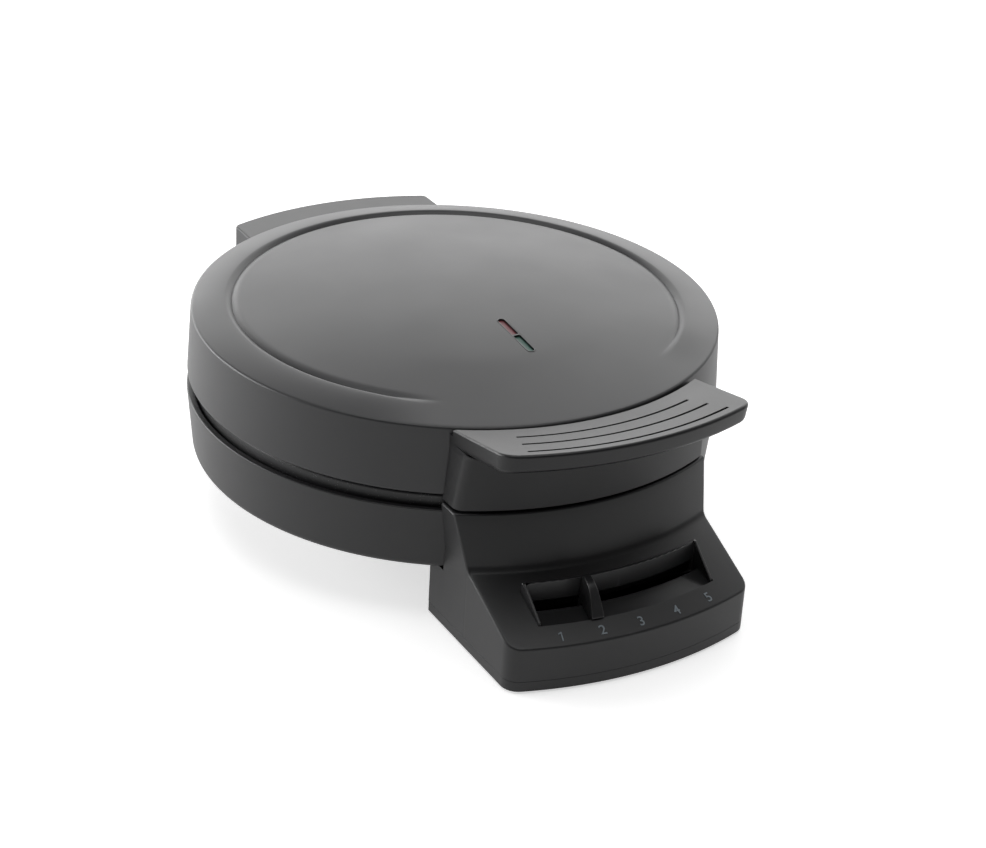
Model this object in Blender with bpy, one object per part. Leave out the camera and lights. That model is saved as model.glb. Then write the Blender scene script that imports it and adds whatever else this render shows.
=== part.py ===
"""Round waffle iron: a hinged lid over a round base, a control housing with a
slider in front and a hinge housing behind.

Lengths are in metres, +Z is up and the front faces -Y. Plan angles are measured
at the upright body axis, from the front towards +X. Heights are above the feet.
"""
import math

import bmesh
import bpy
from mathutils import Matrix, Vector

for leftover in list(bpy.data.objects):
    bpy.data.objects.remove(leftover, do_unlink=True)

# Clearances and cuts
fit_gap = 0.0003
cut_overrun = 0.002
sharp_angle = math.radians(32)
turn_steps = 60
small_steps = 8
foot_steps = 16
shield_steps = 36
heater_steps = 24
joint_overlap = 0.0006

# Round body and lid
body_radius = 0.107
lid_height = 0.0290
dome_rise = 0.0100
panel_inset = 0.0163
panel_edge_rise = 0.0014
step_height = 0.0015
step_width = 0.0028
ring_fall_share = 0.6
ring_gap_angle = math.radians(41)
ring_fade_angle = math.radians(9)
skirt_flare = 0.0015
skirt_chamfer = 0.0015
shell_wall = 0.0022
edge_round = 0.0010
mating_height = 0.0566
lid_lip = 0.0011

# Base bowl
base_flare = 0.0018
base_taper = 0.0020
rim_band_height = 0.0051
bowl_depth = 0.0316
bowl_floor = 0.0023
bowl_round = 0.0030
ledge_width = 0.0034
ledge_thickness = 0.0015

# Cooking plates, measured from the mating plane
plate_inset = 0.0017
flange_width = 0.0038
plate_gap = 0.0006
flange_depth = 0.0086
plate_depth = 0.0106
pocket_depth = 0.0073
stud_height = 0.0035
stud_half_width = 0.0024
stud_top_share = 0.6
ridge_height = 0.0045
ridge_half_width = 0.0015
ridge_start_radius = 0.0085
lobe_inset = 0.0123
lobe_cleft_depth = 0.0110
land_cleft_depth = 0.0330
lobe_cleft_angle = math.radians(6)
land_cleft_angle = math.radians(8)
lobe_count = 5
pocket_steps = 60

# Plate fixings, heaters and heat shields
boss_radius = 0.0040
boss_inset = 0.0213
screw_radius = 0.0016
screw_gap = 0.0003
screw_head_radius = 0.0031
screw_head_height = 0.0018
screw_pad = 0.0012
heater_radius = 0.0032
heater_inset = 0.0353
heater_open_angle = math.radians(14)
heater_tail = 0.0035
heater_bend_steps = 4
shield_inset = 0.0273
shield_thickness = 0.0008
shield_depth = 0.0195
shield_post_radius = 0.0036
shield_hole_gap = 0.0010

# Control housing
console_overhang = 0.0470
console_side_inset = 0.0027
console_rear_gap = 0.0037
console_corner = 0.0070
console_wall = 0.0022
panel_front_height = 0.0192
neck_foot_overhang = 0.0160
neck_foot_height = 0.0341
neck_top_overhang = 0.0107
neck_top_half_width = 0.0555
handle_seam_gap = 0.0010
cover_height = 0.0050
cover_bottom = 0.0010
cover_floor = 0.0022

# Slider slot
slot_half_width = 0.0370
slot_setback = 0.0100
slot_depth = 0.0125
slot_rim = 0.0012
slot_rim_front_rise = 0.0002
slot_sink = 0.0121
slot_slit_height = 0.0028
track_wall = 0.0015

# Slider and thermostat drive
scale_step_angle = math.radians(6.25)
slider_rest_angle = -scale_step_angle
knob_half_width = 0.0027
knob_top_half_width = 0.0015
knob_rise = 0.0012
knob_overhang = 0.0010
knob_bevel = 0.0004
arm_half_width = 0.0015
arm_thickness = 0.0020
arm_reach = 0.0058
web_inset = 0.0030
web_thickness = 0.0030
carriage_height = 0.0073
carriage_thickness = 0.0025
rack_rim = 0.0030
rack_half_angle = math.radians(14.2)
carriage_half_angle = math.radians(5)
shoe_drop = 0.0036
guide_inset = 0.0050
guide_spacing = 0.0088
guide_rib_width = 0.0018
guide_half_angle = math.radians(19)
pinion_teeth = 20
rack_teeth_per_turn = 210
rack_offset = 0.0001
tooth_tip_height = 0.00085
tooth_root_depth = 0.00115
tooth_share = 0.40
tooth_tip_share = 0.55
tooth_root_share = 1.40
shaft_radius = 0.0020
shaft_gap = 0.0006
pinion_hub_radius = 0.0046
pinion_hub_height = 0.0030
bearing_height = 0.0026
bearing_wall = 0.0020

# Thermostat
thermostat_half_width = 0.0090
thermostat_half_depth = 0.0055
thermostat_stand = 0.0027
thermostat_height = 0.0085
bracket_strip = 0.0012
bracket_half_depth = 0.0040
fuse_radius = 0.0021
fuse_half_length = 0.0075
fuse_inset = 0.0140
fuse_angle = math.radians(38)

# Handle
handle_overhang = 0.0370
handle_side_inset = 0.0020
handle_corner = 0.0090
handle_groove_width = 0.0024
handle_inner_rise = 0.0005
handle_front_rise = 0.0082
handle_thickness = 0.0080
handle_wall = 0.0024
handle_edge_round = 0.0012
handle_groove_depth = 0.0030
apron_overhang = 0.0120
apron_taper = 0.0015
apron_side_inset = 0.0005
grip_groove_width = 0.0011
grip_groove_depth = 0.0008
grip_groove_setback = 0.0106
grip_groove_spacing = 0.0092
grip_groove_count = 3
grip_groove_angle = math.radians(18)

# Rear housing, lid rear cover and hinge
rear_overhang = 0.0180
rear_half_width = 0.0470
rear_corner = 0.0030
rear_front_inset = 0.0185
rear_back_drop = 0.0051
rear_shoulder_drop = 0.0095
rear_cover_drop = 0.0030
rear_cover_rise = 0.0030
hinge_setback = 0.0105
knuckle_radius = 0.0053
tower_half_width = 0.0245
hinge_arm_width = 0.0080
hinge_side_gap = 0.0005
tower_notch_rise = 0.0082
hinge_rod_radius = 0.0020
hinge_head_radius = 0.0034
hinge_head_height = 0.0012

# Housing screws, feet and cord inlet
post_radius = 0.0036
front_post_inset = 0.0088
front_post_setback = 0.0160
rear_post_inset = 0.0210
rear_post_setback = 0.0063
front_deck_angle = math.radians(24)
rear_deck_angle = math.radians(18)
deck_screw_inset = 0.0100
deck_post_length = 0.0085
rear_cover_post_inset = 0.0090
rear_cover_post_setback = 0.0170
side_screw_angle = math.radians(17)
side_screw_drop = 0.0121
side_boss_radius = 0.0042
side_boss_length = 0.0060
foot_radius = 0.0060
foot_height = 0.0017
foot_seat_depth = 0.0010
front_foot_inset = 0.0228
front_foot_setback = 0.0130
rear_foot_inset = 0.0210
rear_foot_setback = 0.0170
gland_height = 0.0200
gland_radius = 0.0050
gland_bore_radius = 0.0034
gland_flange_radius = 0.0075
gland_flange = 0.0010
gland_length = 0.0080
terminal_half_length = 0.0120
terminal_half_width = 0.0045
terminal_height = 0.0090
terminal_setback = 0.0205
lead_radius = 0.0011
lead_hole_radius = 0.0045
lead_hole_x = 0.0120
lead_hole_inset = 0.0093

# Indicator lamps
indicator_inset = 0.0417
indicator_length = 0.0280
indicator_half_width = 0.0023
indicator_frame_wall = 0.0007
indicator_bar = 0.0008
indicator_depth = 0.0042
indicator_proud = 0.0002
lens_thickness = 0.0024
lamp_radius = 0.0021
lamp_half_length = 0.0045
lamp_drop = 0.0032
lamp_spacing = 0.0070
holder_floor = 0.0012
holder_half_width = 0.0040
holder_wall = 0.0012

# Radii that follow from the body and from each other
panel_radius = body_radius - panel_inset
base_top_radius = body_radius + base_flare
base_bottom_radius = base_top_radius - base_taper
plate_radius = body_radius - plate_inset
plate_core_radius = plate_radius - flange_width
lobe_radius = plate_radius - lobe_inset
boss_ring_radius = plate_radius - boss_inset
heater_ring_radius = plate_radius - heater_inset
shield_radius = plate_radius - shield_inset
fuse_ring_radius = heater_ring_radius - fuse_inset
console_reach = body_radius + console_overhang
neck_foot_radius = body_radius + neck_foot_overhang
neck_top_radius = body_radius + neck_top_overhang
slot_inner_radius = neck_foot_radius + slot_setback
slot_outer_radius = slot_inner_radius + slot_depth
web_radius = neck_foot_radius - web_inset
guide_radius = web_radius - guide_inset
pitch_radius = body_radius + rack_offset
tooth_pitch = 2 * math.pi * pitch_radius / rack_teeth_per_turn
pinion_radius = tooth_pitch * pinion_teeth / (2 * math.pi)
pinion_ring = pitch_radius - pinion_radius
console_rear = pinion_ring - pinion_radius - console_rear_gap
handle_reach = body_radius + handle_overhang
handle_inner_radius = body_radius + handle_groove_width
apron_top_radius = body_radius + apron_overhang
apron_bottom_radius = apron_top_radius - apron_taper
grip_groove_first = handle_inner_radius + grip_groove_setback
rear_reach = body_radius + rear_overhang
rear_front = body_radius - rear_front_inset
hinge_reach = rear_reach - hinge_setback
front_post_y = console_reach - front_post_setback
rear_post_y = console_rear + rear_post_setback
deck_screw_ring = base_bottom_radius - deck_screw_inset
rear_cover_post_y = rear_reach - rear_cover_post_setback
front_foot_y = console_reach - front_foot_setback
rear_foot_y = rear_reach - rear_foot_setback
terminal_y = rear_reach - terminal_setback
lead_hole_y = base_bottom_radius - lead_hole_inset
indicator_radius = panel_radius - indicator_inset
body_y = (console_reach - rear_reach - gland_flange) / 2

# Half widths that follow
console_half_width = neck_top_half_width - console_side_inset
apron_bottom_half_width = neck_top_half_width - apron_side_inset
handle_half_width = apron_bottom_half_width - handle_side_inset
front_post_x = console_half_width - front_post_inset
front_foot_x = console_half_width - front_foot_inset
rear_post_x = rear_half_width - rear_post_inset
rear_foot_x = rear_half_width - rear_foot_inset
rear_cover_post_x = rear_half_width - rear_cover_post_inset

# Heights that follow
rim_height = mating_height + lid_height
body_lift = mating_height - bowl_depth
lid_bottom = mating_height + lid_lip
base_top_height = mating_height - rim_band_height
apron_bottom = mating_height - fit_gap
neck_top_height = apron_bottom - handle_seam_gap
slot_floor_height = neck_foot_height - slot_sink
bowl_floor_top = body_lift + bowl_floor
thermostat_bottom = bowl_floor_top + thermostat_stand
deck_top = body_lift - fit_gap
cover_top = cover_height
cover_floor_top = cover_bottom + cover_floor
screw_seat_top = cover_bottom + screw_head_height + fit_gap
post_bottom = screw_seat_top + screw_pad + fit_gap
plate_back_height = mating_height - plate_depth
rear_shoulder_height = mating_height - rear_shoulder_drop
rear_back_height = rear_shoulder_height - rear_back_drop
rear_cover_top = rim_height - rear_cover_drop
rear_cover_bottom = mating_height + rear_cover_rise
side_screw_height = rim_height - side_screw_drop
land_angles = [math.radians(36), math.radians(180), math.radians(324)]

materials = {}


def material(name, colour, roughness, metallic=0.0):
    if name not in materials:
        made = bpy.data.materials.new(name)
        made.use_nodes = True
        shader = made.node_tree.nodes["Principled BSDF"]
        shader.inputs["Base Color"].default_value = (*colour, 1.0)
        shader.inputs["Roughness"].default_value = roughness
        shader.inputs["Metallic"].default_value = metallic
        materials[name] = made
    return materials[name]


def satin_plastic():
    return material("satin_plastic", (0.030, 0.030, 0.033), 0.42)


def gloss_plastic():
    return material("gloss_plastic", (0.012, 0.012, 0.013), 0.2)


def lid_paint():
    return material("lid_paint", (0.055, 0.055, 0.058), 0.35)


def plate_coating():
    return material("plate_coating", (0.022, 0.022, 0.023), 0.45, 0.3)


def bare_steel():
    return material("bare_steel", (0.56, 0.56, 0.58), 0.32, 1.0)


def sheet_aluminium():
    return material("sheet_aluminium", (0.72, 0.72, 0.73), 0.3, 1.0)


def heater_steel():
    return material("heater_steel", (0.28, 0.27, 0.26), 0.5, 1.0)


def rubber():
    return material("rubber", (0.02, 0.02, 0.02), 0.85)


def ceramic():
    return material("ceramic", (0.8, 0.78, 0.72), 0.4)


def lamp_glass():
    return material("lamp_glass", (0.85, 0.8, 0.75), 0.08)


def lens(name, colour):
    return material(name, colour, 0.15)


# Frames that carry the pieces
def add_empty(name, location, parent=None):
    empty = bpy.data.objects.new(name, None)
    empty.location = location
    empty.parent = parent
    bpy.context.collection.objects.link(empty)
    return empty


body_frame = add_empty("body_frame", (0, body_y, 0))
lid_hinge = add_empty("lid_hinge", (0, body_y + hinge_reach, mating_height))
slider_pivot = add_empty("slider_pivot", (0, body_y, 0))
thermostat_axis = add_empty("thermostat_axis", (0, body_y - pinion_ring, 0))
lower_plate_frame = add_empty("lower_plate_frame", (0, 0, mating_height), body_frame)
lower_plate_frame.rotation_euler = (0, math.pi, 0)
upper_plate_frame = add_empty("upper_plate_frame", (0, -hinge_reach, 0), lid_hinge)
lid_origin = Vector((0, -hinge_reach, -mating_height))


def finish(name, bm, shade=None, parent=None, location=(0, 0, 0), rotation=(0, 0, 0)):
    """Turn a bmesh into a named object with smooth faces and sharp corners."""
    bmesh.ops.remove_doubles(bm, verts=bm.verts, dist=fit_gap / 100)
    bmesh.ops.recalc_face_normals(bm, faces=bm.faces)
    mesh = bpy.data.meshes.new(name)
    bm.to_mesh(mesh)
    bm.free()
    if shade:
        mesh.materials.append(shade)
    mesh.shade_smooth()
    mesh.set_sharp_from_angle(angle=sharp_angle)
    made = bpy.data.objects.new(name, mesh)
    made.parent = parent
    made.location = location
    made.rotation_euler = rotation
    bpy.context.collection.objects.link(made)
    return made


def on_lid(name, bm, shade=None):
    return finish(name, bm, shade, lid_hinge, lid_origin)


def on_base(name, bm, shade=None):
    return finish(name, bm, shade, body_frame)


def combine(target, tool, operation):
    """Join, cut or intersect a piece with another shape that is left out of the part."""
    tool.hide_render = True
    tool.display_type = "WIRE"
    change = target.modifiers.new(tool.name, "BOOLEAN")
    change.operation = operation
    change.solver = "EXACT"
    change.object = tool


def cut(target, *tools):
    for tool in tools:
        combine(target, tool, "DIFFERENCE")


def unite(target, *tools):
    for tool in tools:
        combine(target, tool, "UNION")


def trim_to(target, *tools):
    for tool in tools:
        combine(target, tool, "INTERSECT")


# Shape makers
def plan_point(radius, angle, height=0.0):
    return Vector((radius * math.sin(angle), -radius * math.cos(angle), height))


def loft(bm, loops, closed_ends=True):
    """Skin a list of loops that all hold the same number of points."""
    rings = [[bm.verts.new(point) for point in loop] for loop in loops]
    count = len(rings[0])
    for lower, upper in zip(rings, rings[1:]):
        for i in range(count):
            j = (i + 1) % count
            bm.faces.new((lower[i], lower[j], upper[j], upper[i]))
    if closed_ends:
        bm.faces.new(list(reversed(rings[0])))
        bm.faces.new(rings[-1])
    return bm


def prism(outline, bottom, top):
    bm = bmesh.new()
    return loft(bm, [[Vector((x, y, z)) for x, y in outline] for z in (bottom, top)])


def turned(profile_at, steps=turn_steps):
    """Turn a profile of radius and height round the upright axis.

    The profile is a closed loop off the axis, or it starts and ends on the axis.
    It may change with the plan angle. A level start or end becomes one flat face.
    """
    bm = bmesh.new()
    sample = profile_at(0.0)
    last = len(sample) - 1
    solid = sample[0][0] == 0
    flat_start = solid and sample[0][1] == sample[1][1]
    flat_end = solid and sample[last][1] == sample[last - 1][1]
    first_row = 1 if flat_start else 0
    last_row = last - 1 if flat_end else last
    poles = {}
    if solid and not flat_start:
        poles[0] = bm.verts.new(Vector((0, 0, sample[0][1])))
    if solid and not flat_end:
        poles[last] = bm.verts.new(Vector((0, 0, sample[last][1])))
    grid = []
    for step in range(steps):
        angle = 2 * math.pi * step / steps
        points = [plan_point(r, angle, z) for r, z in profile_at(angle)]
        column = [poles.get(i) or bm.verts.new(points[i]) for i in range(first_row, last_row + 1)]
        grid.append(column)
    rows = len(grid[0])
    spans = rows - 1 if solid else rows
    for step in range(steps):
        here, there = grid[step], grid[(step + 1) % steps]
        for i in range(spans):
            j = (i + 1) % rows
            corners = [here[i], here[j], there[j], there[i]]
            bm.faces.new(list(dict.fromkeys(corners)))
    if flat_start:
        bm.faces.new([column[0] for column in grid])
    if flat_end:
        bm.faces.new([column[-1] for column in reversed(grid)])
    return bm


def sector(profile, start, end, steps):
    """Turn a closed profile of radius and height through part of a circle."""
    bm = bmesh.new()
    loops = []
    for step in range(steps + 1):
        angle = start + (end - start) * step / steps
        loops.append([plan_point(r, angle, z) for r, z in profile])
    return loft(bm, loops)


def rod_into(bm, radius, bottom, top, centre=(0, 0), steps=small_steps):
    x, y = centre
    loops = []
    for height in (bottom, top):
        ring = [2 * math.pi * i / steps for i in range(steps)]
        loops.append([Vector((x + radius * math.cos(a), y + radius * math.sin(a), height)) for a in ring])
    return loft(bm, loops)


def rods(places, radius, bottom, top, steps=small_steps):
    bm = bmesh.new()
    for place in places:
        rod_into(bm, radius, bottom, top, place, steps)
    return bm


def block_into(bm, x_range, y_range, z_range):
    (x0, x1), (y0, y1), (z0, z1) = x_range, y_range, z_range
    loops = [[Vector(p) for p in ((x0, y0, z), (x1, y0, z), (x1, y1, z), (x0, y1, z))] for z in (z0, z1)]
    return loft(bm, loops)


def block(x_range, y_range, z_range):
    return block_into(bmesh.new(), x_range, y_range, z_range)


def cross_bar(outline, x_start, x_end):
    """Extrude an outline in Y and Z along X."""
    bm = bmesh.new()
    return loft(bm, [[Vector((x, y, z)) for y, z in outline] for x in (x_start, x_end)])


screw_meshes = {}


def screw_mesh(length):
    """Pan head screw: the head ends at the origin, the shank runs along +Z."""
    if length not in screw_meshes:
        profile = [
            (0, -screw_head_height),
            (screw_head_radius, -screw_head_height),
            (screw_head_radius, 0),
            (screw_radius, 0),
            (screw_radius, length),
            (0, length),
        ]
        shaped = finish("screw_form", turned(lambda angle: profile, small_steps), bare_steel())
        screw_meshes[length] = shaped.data
        bpy.data.objects.remove(shaped)
    return screw_meshes[length]


def add_screw(name, head, direction, length, parent, origin=(0, 0, 0)):
    """Place a screw: head is where its head meets the work, direction is where its shank goes."""
    made = bpy.data.objects.new(name, screw_mesh(length))
    made.parent = parent
    made.location = Vector(head) + Vector(origin)
    made.rotation_euler = Vector(direction).to_track_quat("Z", "Y").to_euler()
    bpy.context.collection.objects.link(made)
    return made


def radial_rod(name, radius, inner, outer, angle, height, steps=small_steps):
    """A cylinder that points away from the body axis."""
    bm = rods([(0, 0)], radius, inner, outer, steps)
    bm.transform(Matrix.Rotation(math.pi / 2, 4, "X"))
    bm.transform(Matrix.Translation((0, 0, height)) @ Matrix.Rotation(angle, 4, "Z"))
    return bm


def arc(radius, start, end, steps):
    return [tuple(plan_point(radius, start + (end - start) * i / steps)[:2]) for i in range(steps + 1)]


def round_front_outline(half_width, reach, corner, rear, facing=-1, front_steps=12, corner_steps=4):
    """Plan outline with flat sides, an arc about the body axis and rounded corners.

    The arc faces the front with facing -1 and the back with facing 1.
    """
    centre_x = half_width - corner
    centre_y = math.sqrt((reach - corner) ** 2 - centre_x ** 2)
    corner_angle = math.atan2(centre_x, centre_y)
    right = []
    for i in range(corner_steps + 1):
        angle = math.pi / 2 + (corner_angle - math.pi / 2) * i / corner_steps
        right.append((centre_x + corner * math.sin(angle), centre_y + corner * math.cos(angle)))
    front = []
    for i in range(1, front_steps):
        angle = corner_angle - 2 * corner_angle * i / front_steps
        front.append((reach * math.sin(angle), reach * math.cos(angle)))
    left = [(-x, y) for x, y in reversed(right)]
    points = [(half_width, rear)] + right + front + left + [(-half_width, rear)]
    return [(x, facing * y) for x, y in points]


def line_through(first, second):
    """Height as a function of radius along a straight profile line."""
    (r0, z0), (r1, z1) = first, second
    slope = (z1 - z0) / (r1 - r0)
    return lambda radius: z0 + slope * (radius - r0)


panel_line = line_through((neck_foot_radius, neck_foot_height), (console_reach, panel_front_height))
handle_line = line_through(
    (handle_inner_radius, rim_height + handle_inner_rise),
    (handle_reach, rim_height + handle_front_rise),
)
panel_slope_factor = math.hypot(1, (neck_foot_height - panel_front_height) / (console_reach - neck_foot_radius))


# Lid shell
def smooth_share(value):
    value = min(max(value, 0.0), 1.0)
    return value * value * (3 - 2 * value)


def panel_rise(radius):
    """Rise of the domed panel above the rim."""
    return dome_rise - (dome_rise - panel_edge_rise) * (radius / panel_radius) ** 2


def lid_profile(angle):
    """Outer and inner profile of the lid; the raised ring fades out towards the front."""
    off_front = abs((angle + math.pi) % (2 * math.pi) - math.pi)
    ring = smooth_share((off_front - ring_gap_angle + ring_fade_angle / 2) / ring_fade_angle)
    crest_radius = panel_radius + step_width
    crest_rise = panel_edge_rise + step_height
    rim_start = body_radius - edge_round
    plain = line_through((panel_radius, panel_edge_rise), (rim_start, 0))
    points = [(panel_radius * share, panel_rise(panel_radius * share)) for share in (0, 0.35, 0.7, 1)]
    points.append((crest_radius, plain(crest_radius) + (crest_rise - plain(crest_radius)) * ring))
    middle = (crest_radius + rim_start) / 2
    raised = crest_rise * ring_fall_share
    points.append((middle, plain(middle) + (raised - plain(middle)) * ring))
    points += [
        (rim_start, 0),
        (body_radius - edge_round * 0.3, -edge_round * 0.3),
        (body_radius, -edge_round),
    ]
    outer = [(radius, rim_height + rise) for radius, rise in points]
    skirt_radius = body_radius + skirt_flare
    ledge = mating_height + flange_depth + fit_gap
    inner_top = body_radius - shell_wall
    inner = [
        (skirt_radius, lid_bottom + skirt_chamfer),
        (skirt_radius - skirt_chamfer / 3, lid_bottom),
        (skirt_radius - shell_wall, lid_bottom),
        (skirt_radius - shell_wall, ledge),
        (skirt_radius - shell_wall - ledge_width, ledge),
        (skirt_radius - shell_wall - ledge_width, ledge + ledge_thickness),
        (skirt_radius - shell_wall - skirt_flare / 2, ledge + ledge_thickness + ledge_width / 2),
        (inner_top, rim_height - shell_wall * 2),
        (inner_top - shell_wall, rim_height - shell_wall),
    ]
    for share in (0.6, 0):
        radius = panel_radius * share
        inner.append((radius, rim_height + panel_rise(radius) - shell_wall))
    return outer + inner


def indicator_tilt():
    return math.atan(2 * (dome_rise - panel_edge_rise) * indicator_radius / panel_radius ** 2)


def indicator_place():
    return Vector((0, -indicator_radius, rim_height + panel_rise(indicator_radius)))


def stadium(half_length, half_width, steps=6):
    """Long outline with round ends, along Y."""
    points = []
    for sign in (1, -1):
        for i in range(steps + 1):
            angle = math.pi * i / steps
            x = sign * half_width * math.cos(angle)
            y = sign * (half_length - half_width + half_width * math.sin(angle))
            points.append((x, y))
    return points


def on_indicator(name, bm, shade=None):
    """Place a piece in the tilted frame of the indicator window."""
    return finish(name, bm, shade, lid_hinge, lid_origin + indicator_place(), (indicator_tilt(), 0, 0))


def ring_places(radius, angles):
    return [tuple(plan_point(radius, angle)[:2]) for angle in angles]


def radial_holes(name, carrier, inner, outer, angles, radius):
    for index, angle in enumerate(angles):
        bm = radial_rod(name, radius, inner, outer, angle, side_screw_height)
        yield carrier(f"{name}_{index}", bm)


def build_lid_shell():
    shell = on_lid("lid_shell", turned(lid_profile), lid_paint())
    boss_bottom = mating_height + plate_depth + fit_gap
    boss_top = rim_height + panel_edge_rise - shell_wall / 2
    places = ring_places(boss_ring_radius, land_angles)
    unite(shell, on_lid("lid_bosses", rods(places, boss_radius, boss_bottom, boss_top)))
    bore_top = boss_bottom + (boss_top - boss_bottom) / 2
    bores = rods(places, screw_radius + screw_gap, boss_bottom - cut_overrun, bore_top)
    cut(shell, on_lid("lid_boss_bores", bores))
    window = prism(
        stadium(indicator_length / 2 + fit_gap, indicator_half_width + fit_gap),
        -indicator_depth - cut_overrun,
        cut_overrun,
    )
    cut(shell, on_indicator("indicator_window", window))
    side_angles = [-side_screw_angle, side_screw_angle, math.pi - side_screw_angle, math.pi + side_screw_angle]
    inner = body_radius - shell_wall - cut_overrun * 2
    outer = body_radius + cut_overrun * 2
    for hole in radial_holes("skirt_hole", on_lid, inner, outer, side_angles, screw_radius + screw_gap):
        cut(shell, hole)


# Base bowl
def bowl_profile(angle):
    wall_line = line_through((body_lift, base_bottom_radius), (base_top_height, base_top_radius))
    ledge_top = mating_height - flange_depth - fit_gap
    ledge_bottom = ledge_top - ledge_thickness
    ledge_radius = wall_line(ledge_top) - shell_wall - ledge_width
    round_share = 1 - math.sqrt(0.5)
    floor_edge = base_bottom_radius - shell_wall
    return [
        (0, body_lift),
        (base_bottom_radius - bowl_round, body_lift),
        (base_bottom_radius - bowl_round * round_share, body_lift + bowl_round * round_share),
        (wall_line(body_lift + bowl_round), body_lift + bowl_round),
        (base_top_radius, base_top_height - edge_round / 2),
        (base_top_radius - edge_round / 2, base_top_height),
        (base_top_radius - shell_wall, base_top_height),
        (wall_line(ledge_top) - shell_wall, ledge_top),
        (ledge_radius, ledge_top),
        (ledge_radius, ledge_bottom),
        (wall_line(ledge_bottom) - shell_wall, ledge_bottom - ledge_width / 2),
        (floor_edge, bowl_floor_top + bowl_round / 2),
        (floor_edge - bowl_round / 2, bowl_floor_top),
        (0, bowl_floor_top),
    ]


def bowl_clearance(name):
    """The space that the housings leave for the bowl."""
    profile = [
        (0, deck_top),
        (base_bottom_radius + fit_gap, deck_top),
        (base_top_radius + fit_gap, base_top_height),
        (base_top_radius + fit_gap, rim_height),
        (0, rim_height),
    ]
    return on_base(name, turned(lambda angle: profile))


def deck_screw_places():
    front = [-front_deck_angle, front_deck_angle]
    back = [math.pi - rear_deck_angle, math.pi + rear_deck_angle]
    return ring_places(deck_screw_ring, front), ring_places(deck_screw_ring, back)


def shaft_place():
    return (0, -pinion_ring)


def lead_hole_places():
    return [(-lead_hole_x, lead_hole_y), (lead_hole_x, lead_hole_y)]


def build_base_shell():
    bowl = on_base("base_shell", turned(bowl_profile), satin_plastic())
    bottom, top = body_lift - cut_overrun, bowl_floor_top + cut_overrun
    front, back = deck_screw_places()
    small = front + back + ring_places(boss_ring_radius, land_angles)
    cut(bowl, on_base("bowl_screw_holes", rods(small, screw_radius + screw_gap, bottom, top)))
    cut(bowl, on_base("bowl_shaft_hole", rods([shaft_place()], shaft_radius + shaft_gap, bottom, top)))
    cut(bowl, on_base("bowl_lead_holes", rods(lead_hole_places(), lead_hole_radius, bottom, top)))


# Cooking plates
def pocket_outline():
    """Outline of the five joined hearts: round lobes with a cleft in each and between them."""
    points = []
    spread = 2 * math.pi / lobe_count
    for i in range(pocket_steps):
        angle = 2 * math.pi * i / pocket_steps
        off_heart = abs((angle + spread / 2) % spread - spread / 2)
        cleft = lobe_cleft_depth * math.exp(-((off_heart / lobe_cleft_angle) ** 2))
        land = land_cleft_depth * math.exp(-(((spread / 2 - off_heart) / land_cleft_angle) ** 2))
        points.append(tuple(plan_point(lobe_radius - cleft - land, angle)[:2]))
    return points


stud_place_shares = [
    (0.36, 0.0),
    (0.53, -0.12),
    (0.53, 0.12),
    (0.67, 0.0),
    (0.72, -0.24),
    (0.72, 0.24),
    (0.80, -0.09),
    (0.80, 0.09),
]


def pocket_relief():
    """Studs inside each heart and the ridges between the hearts."""
    bm = bmesh.new()
    floor = pocket_depth + joint_overlap
    for heart in range(lobe_count):
        turn = Matrix.Rotation(2 * math.pi * heart / lobe_count, 4, "Z")
        for along_share, across_share in stud_place_shares:
            centre = Vector((lobe_radius * across_share, -lobe_radius * along_share, 0))
            loops = []
            for depth, size_share in ((floor, 1.0), (pocket_depth - stud_height, stud_top_share)):
                half = stud_half_width * size_share
                corners = ((-half, -half), (half, -half), (half, half), (-half, half))
                loops.append([turn @ (centre + Vector((x, y, depth))) for x, y in corners])
            loft(bm, loops)
        between = Matrix.Rotation(math.pi / lobe_count, 4, "Z")
        end = lobe_radius - land_cleft_depth + joint_overlap * 5
        loops = []
        for depth, size_share in ((floor, 1.0), (pocket_depth - ridge_height, stud_top_share)):
            half = ridge_half_width * size_share
            corners = ((-half, -end), (half, -end), (half, -ridge_start_radius), (-half, -ridge_start_radius))
            loops.append([between @ turn @ Vector((x, y, depth)) for x, y in corners])
        loft(bm, loops)
    return bm


def plate_profile(angle):
    face = plate_gap / 2
    return [
        (0, face),
        (plate_radius - edge_round * 0.8, face),
        (plate_radius, face + edge_round * 0.8),
        (plate_radius, flange_depth),
        (plate_core_radius, flange_depth),
        (plate_core_radius, plate_depth),
        (0, plate_depth),
    ]


def in_plate_frame(frame):
    return lambda name, bm, shade=None: finish(name, bm, shade, frame)


def build_cooking_plate(prefix, frame):
    """A cast plate; depth runs away from the mating plane."""
    add = in_plate_frame(frame)
    plate = add(f"{prefix}_plate", turned(plate_profile), plate_coating())
    cut(plate, add(f"{prefix}_pocket", prism(pocket_outline(), -cut_overrun, pocket_depth)))
    unite(plate, add(f"{prefix}_relief", pocket_relief()))
    post = rods([(0, 0)], shield_post_radius, plate_depth - joint_overlap, shield_depth - fit_gap)
    unite(plate, add(f"{prefix}_shield_post", post))
    bore_bottom = plate_depth + (shield_depth - plate_depth) / 4
    bore = rods([(0, 0)], screw_radius + screw_gap, bore_bottom, shield_depth + cut_overrun)
    cut(plate, add(f"{prefix}_shield_bore", bore))
    return plate


def build_lower_bosses(plate):
    """Posts under the lower plate that take the screws through the bowl floor."""
    add = in_plate_frame(lower_plate_frame)
    places = ring_places(boss_ring_radius, [-angle for angle in land_angles])
    end = mating_height - bowl_floor_top - fit_gap
    unite(plate, add("lower_bosses", rods(places, boss_radius, plate_depth - joint_overlap, end)))
    start = plate_depth + (end - plate_depth) / 4
    bores = rods(places, screw_radius + screw_gap, start, end + cut_overrun)
    cut(plate, add("lower_boss_bores", bores))


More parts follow.
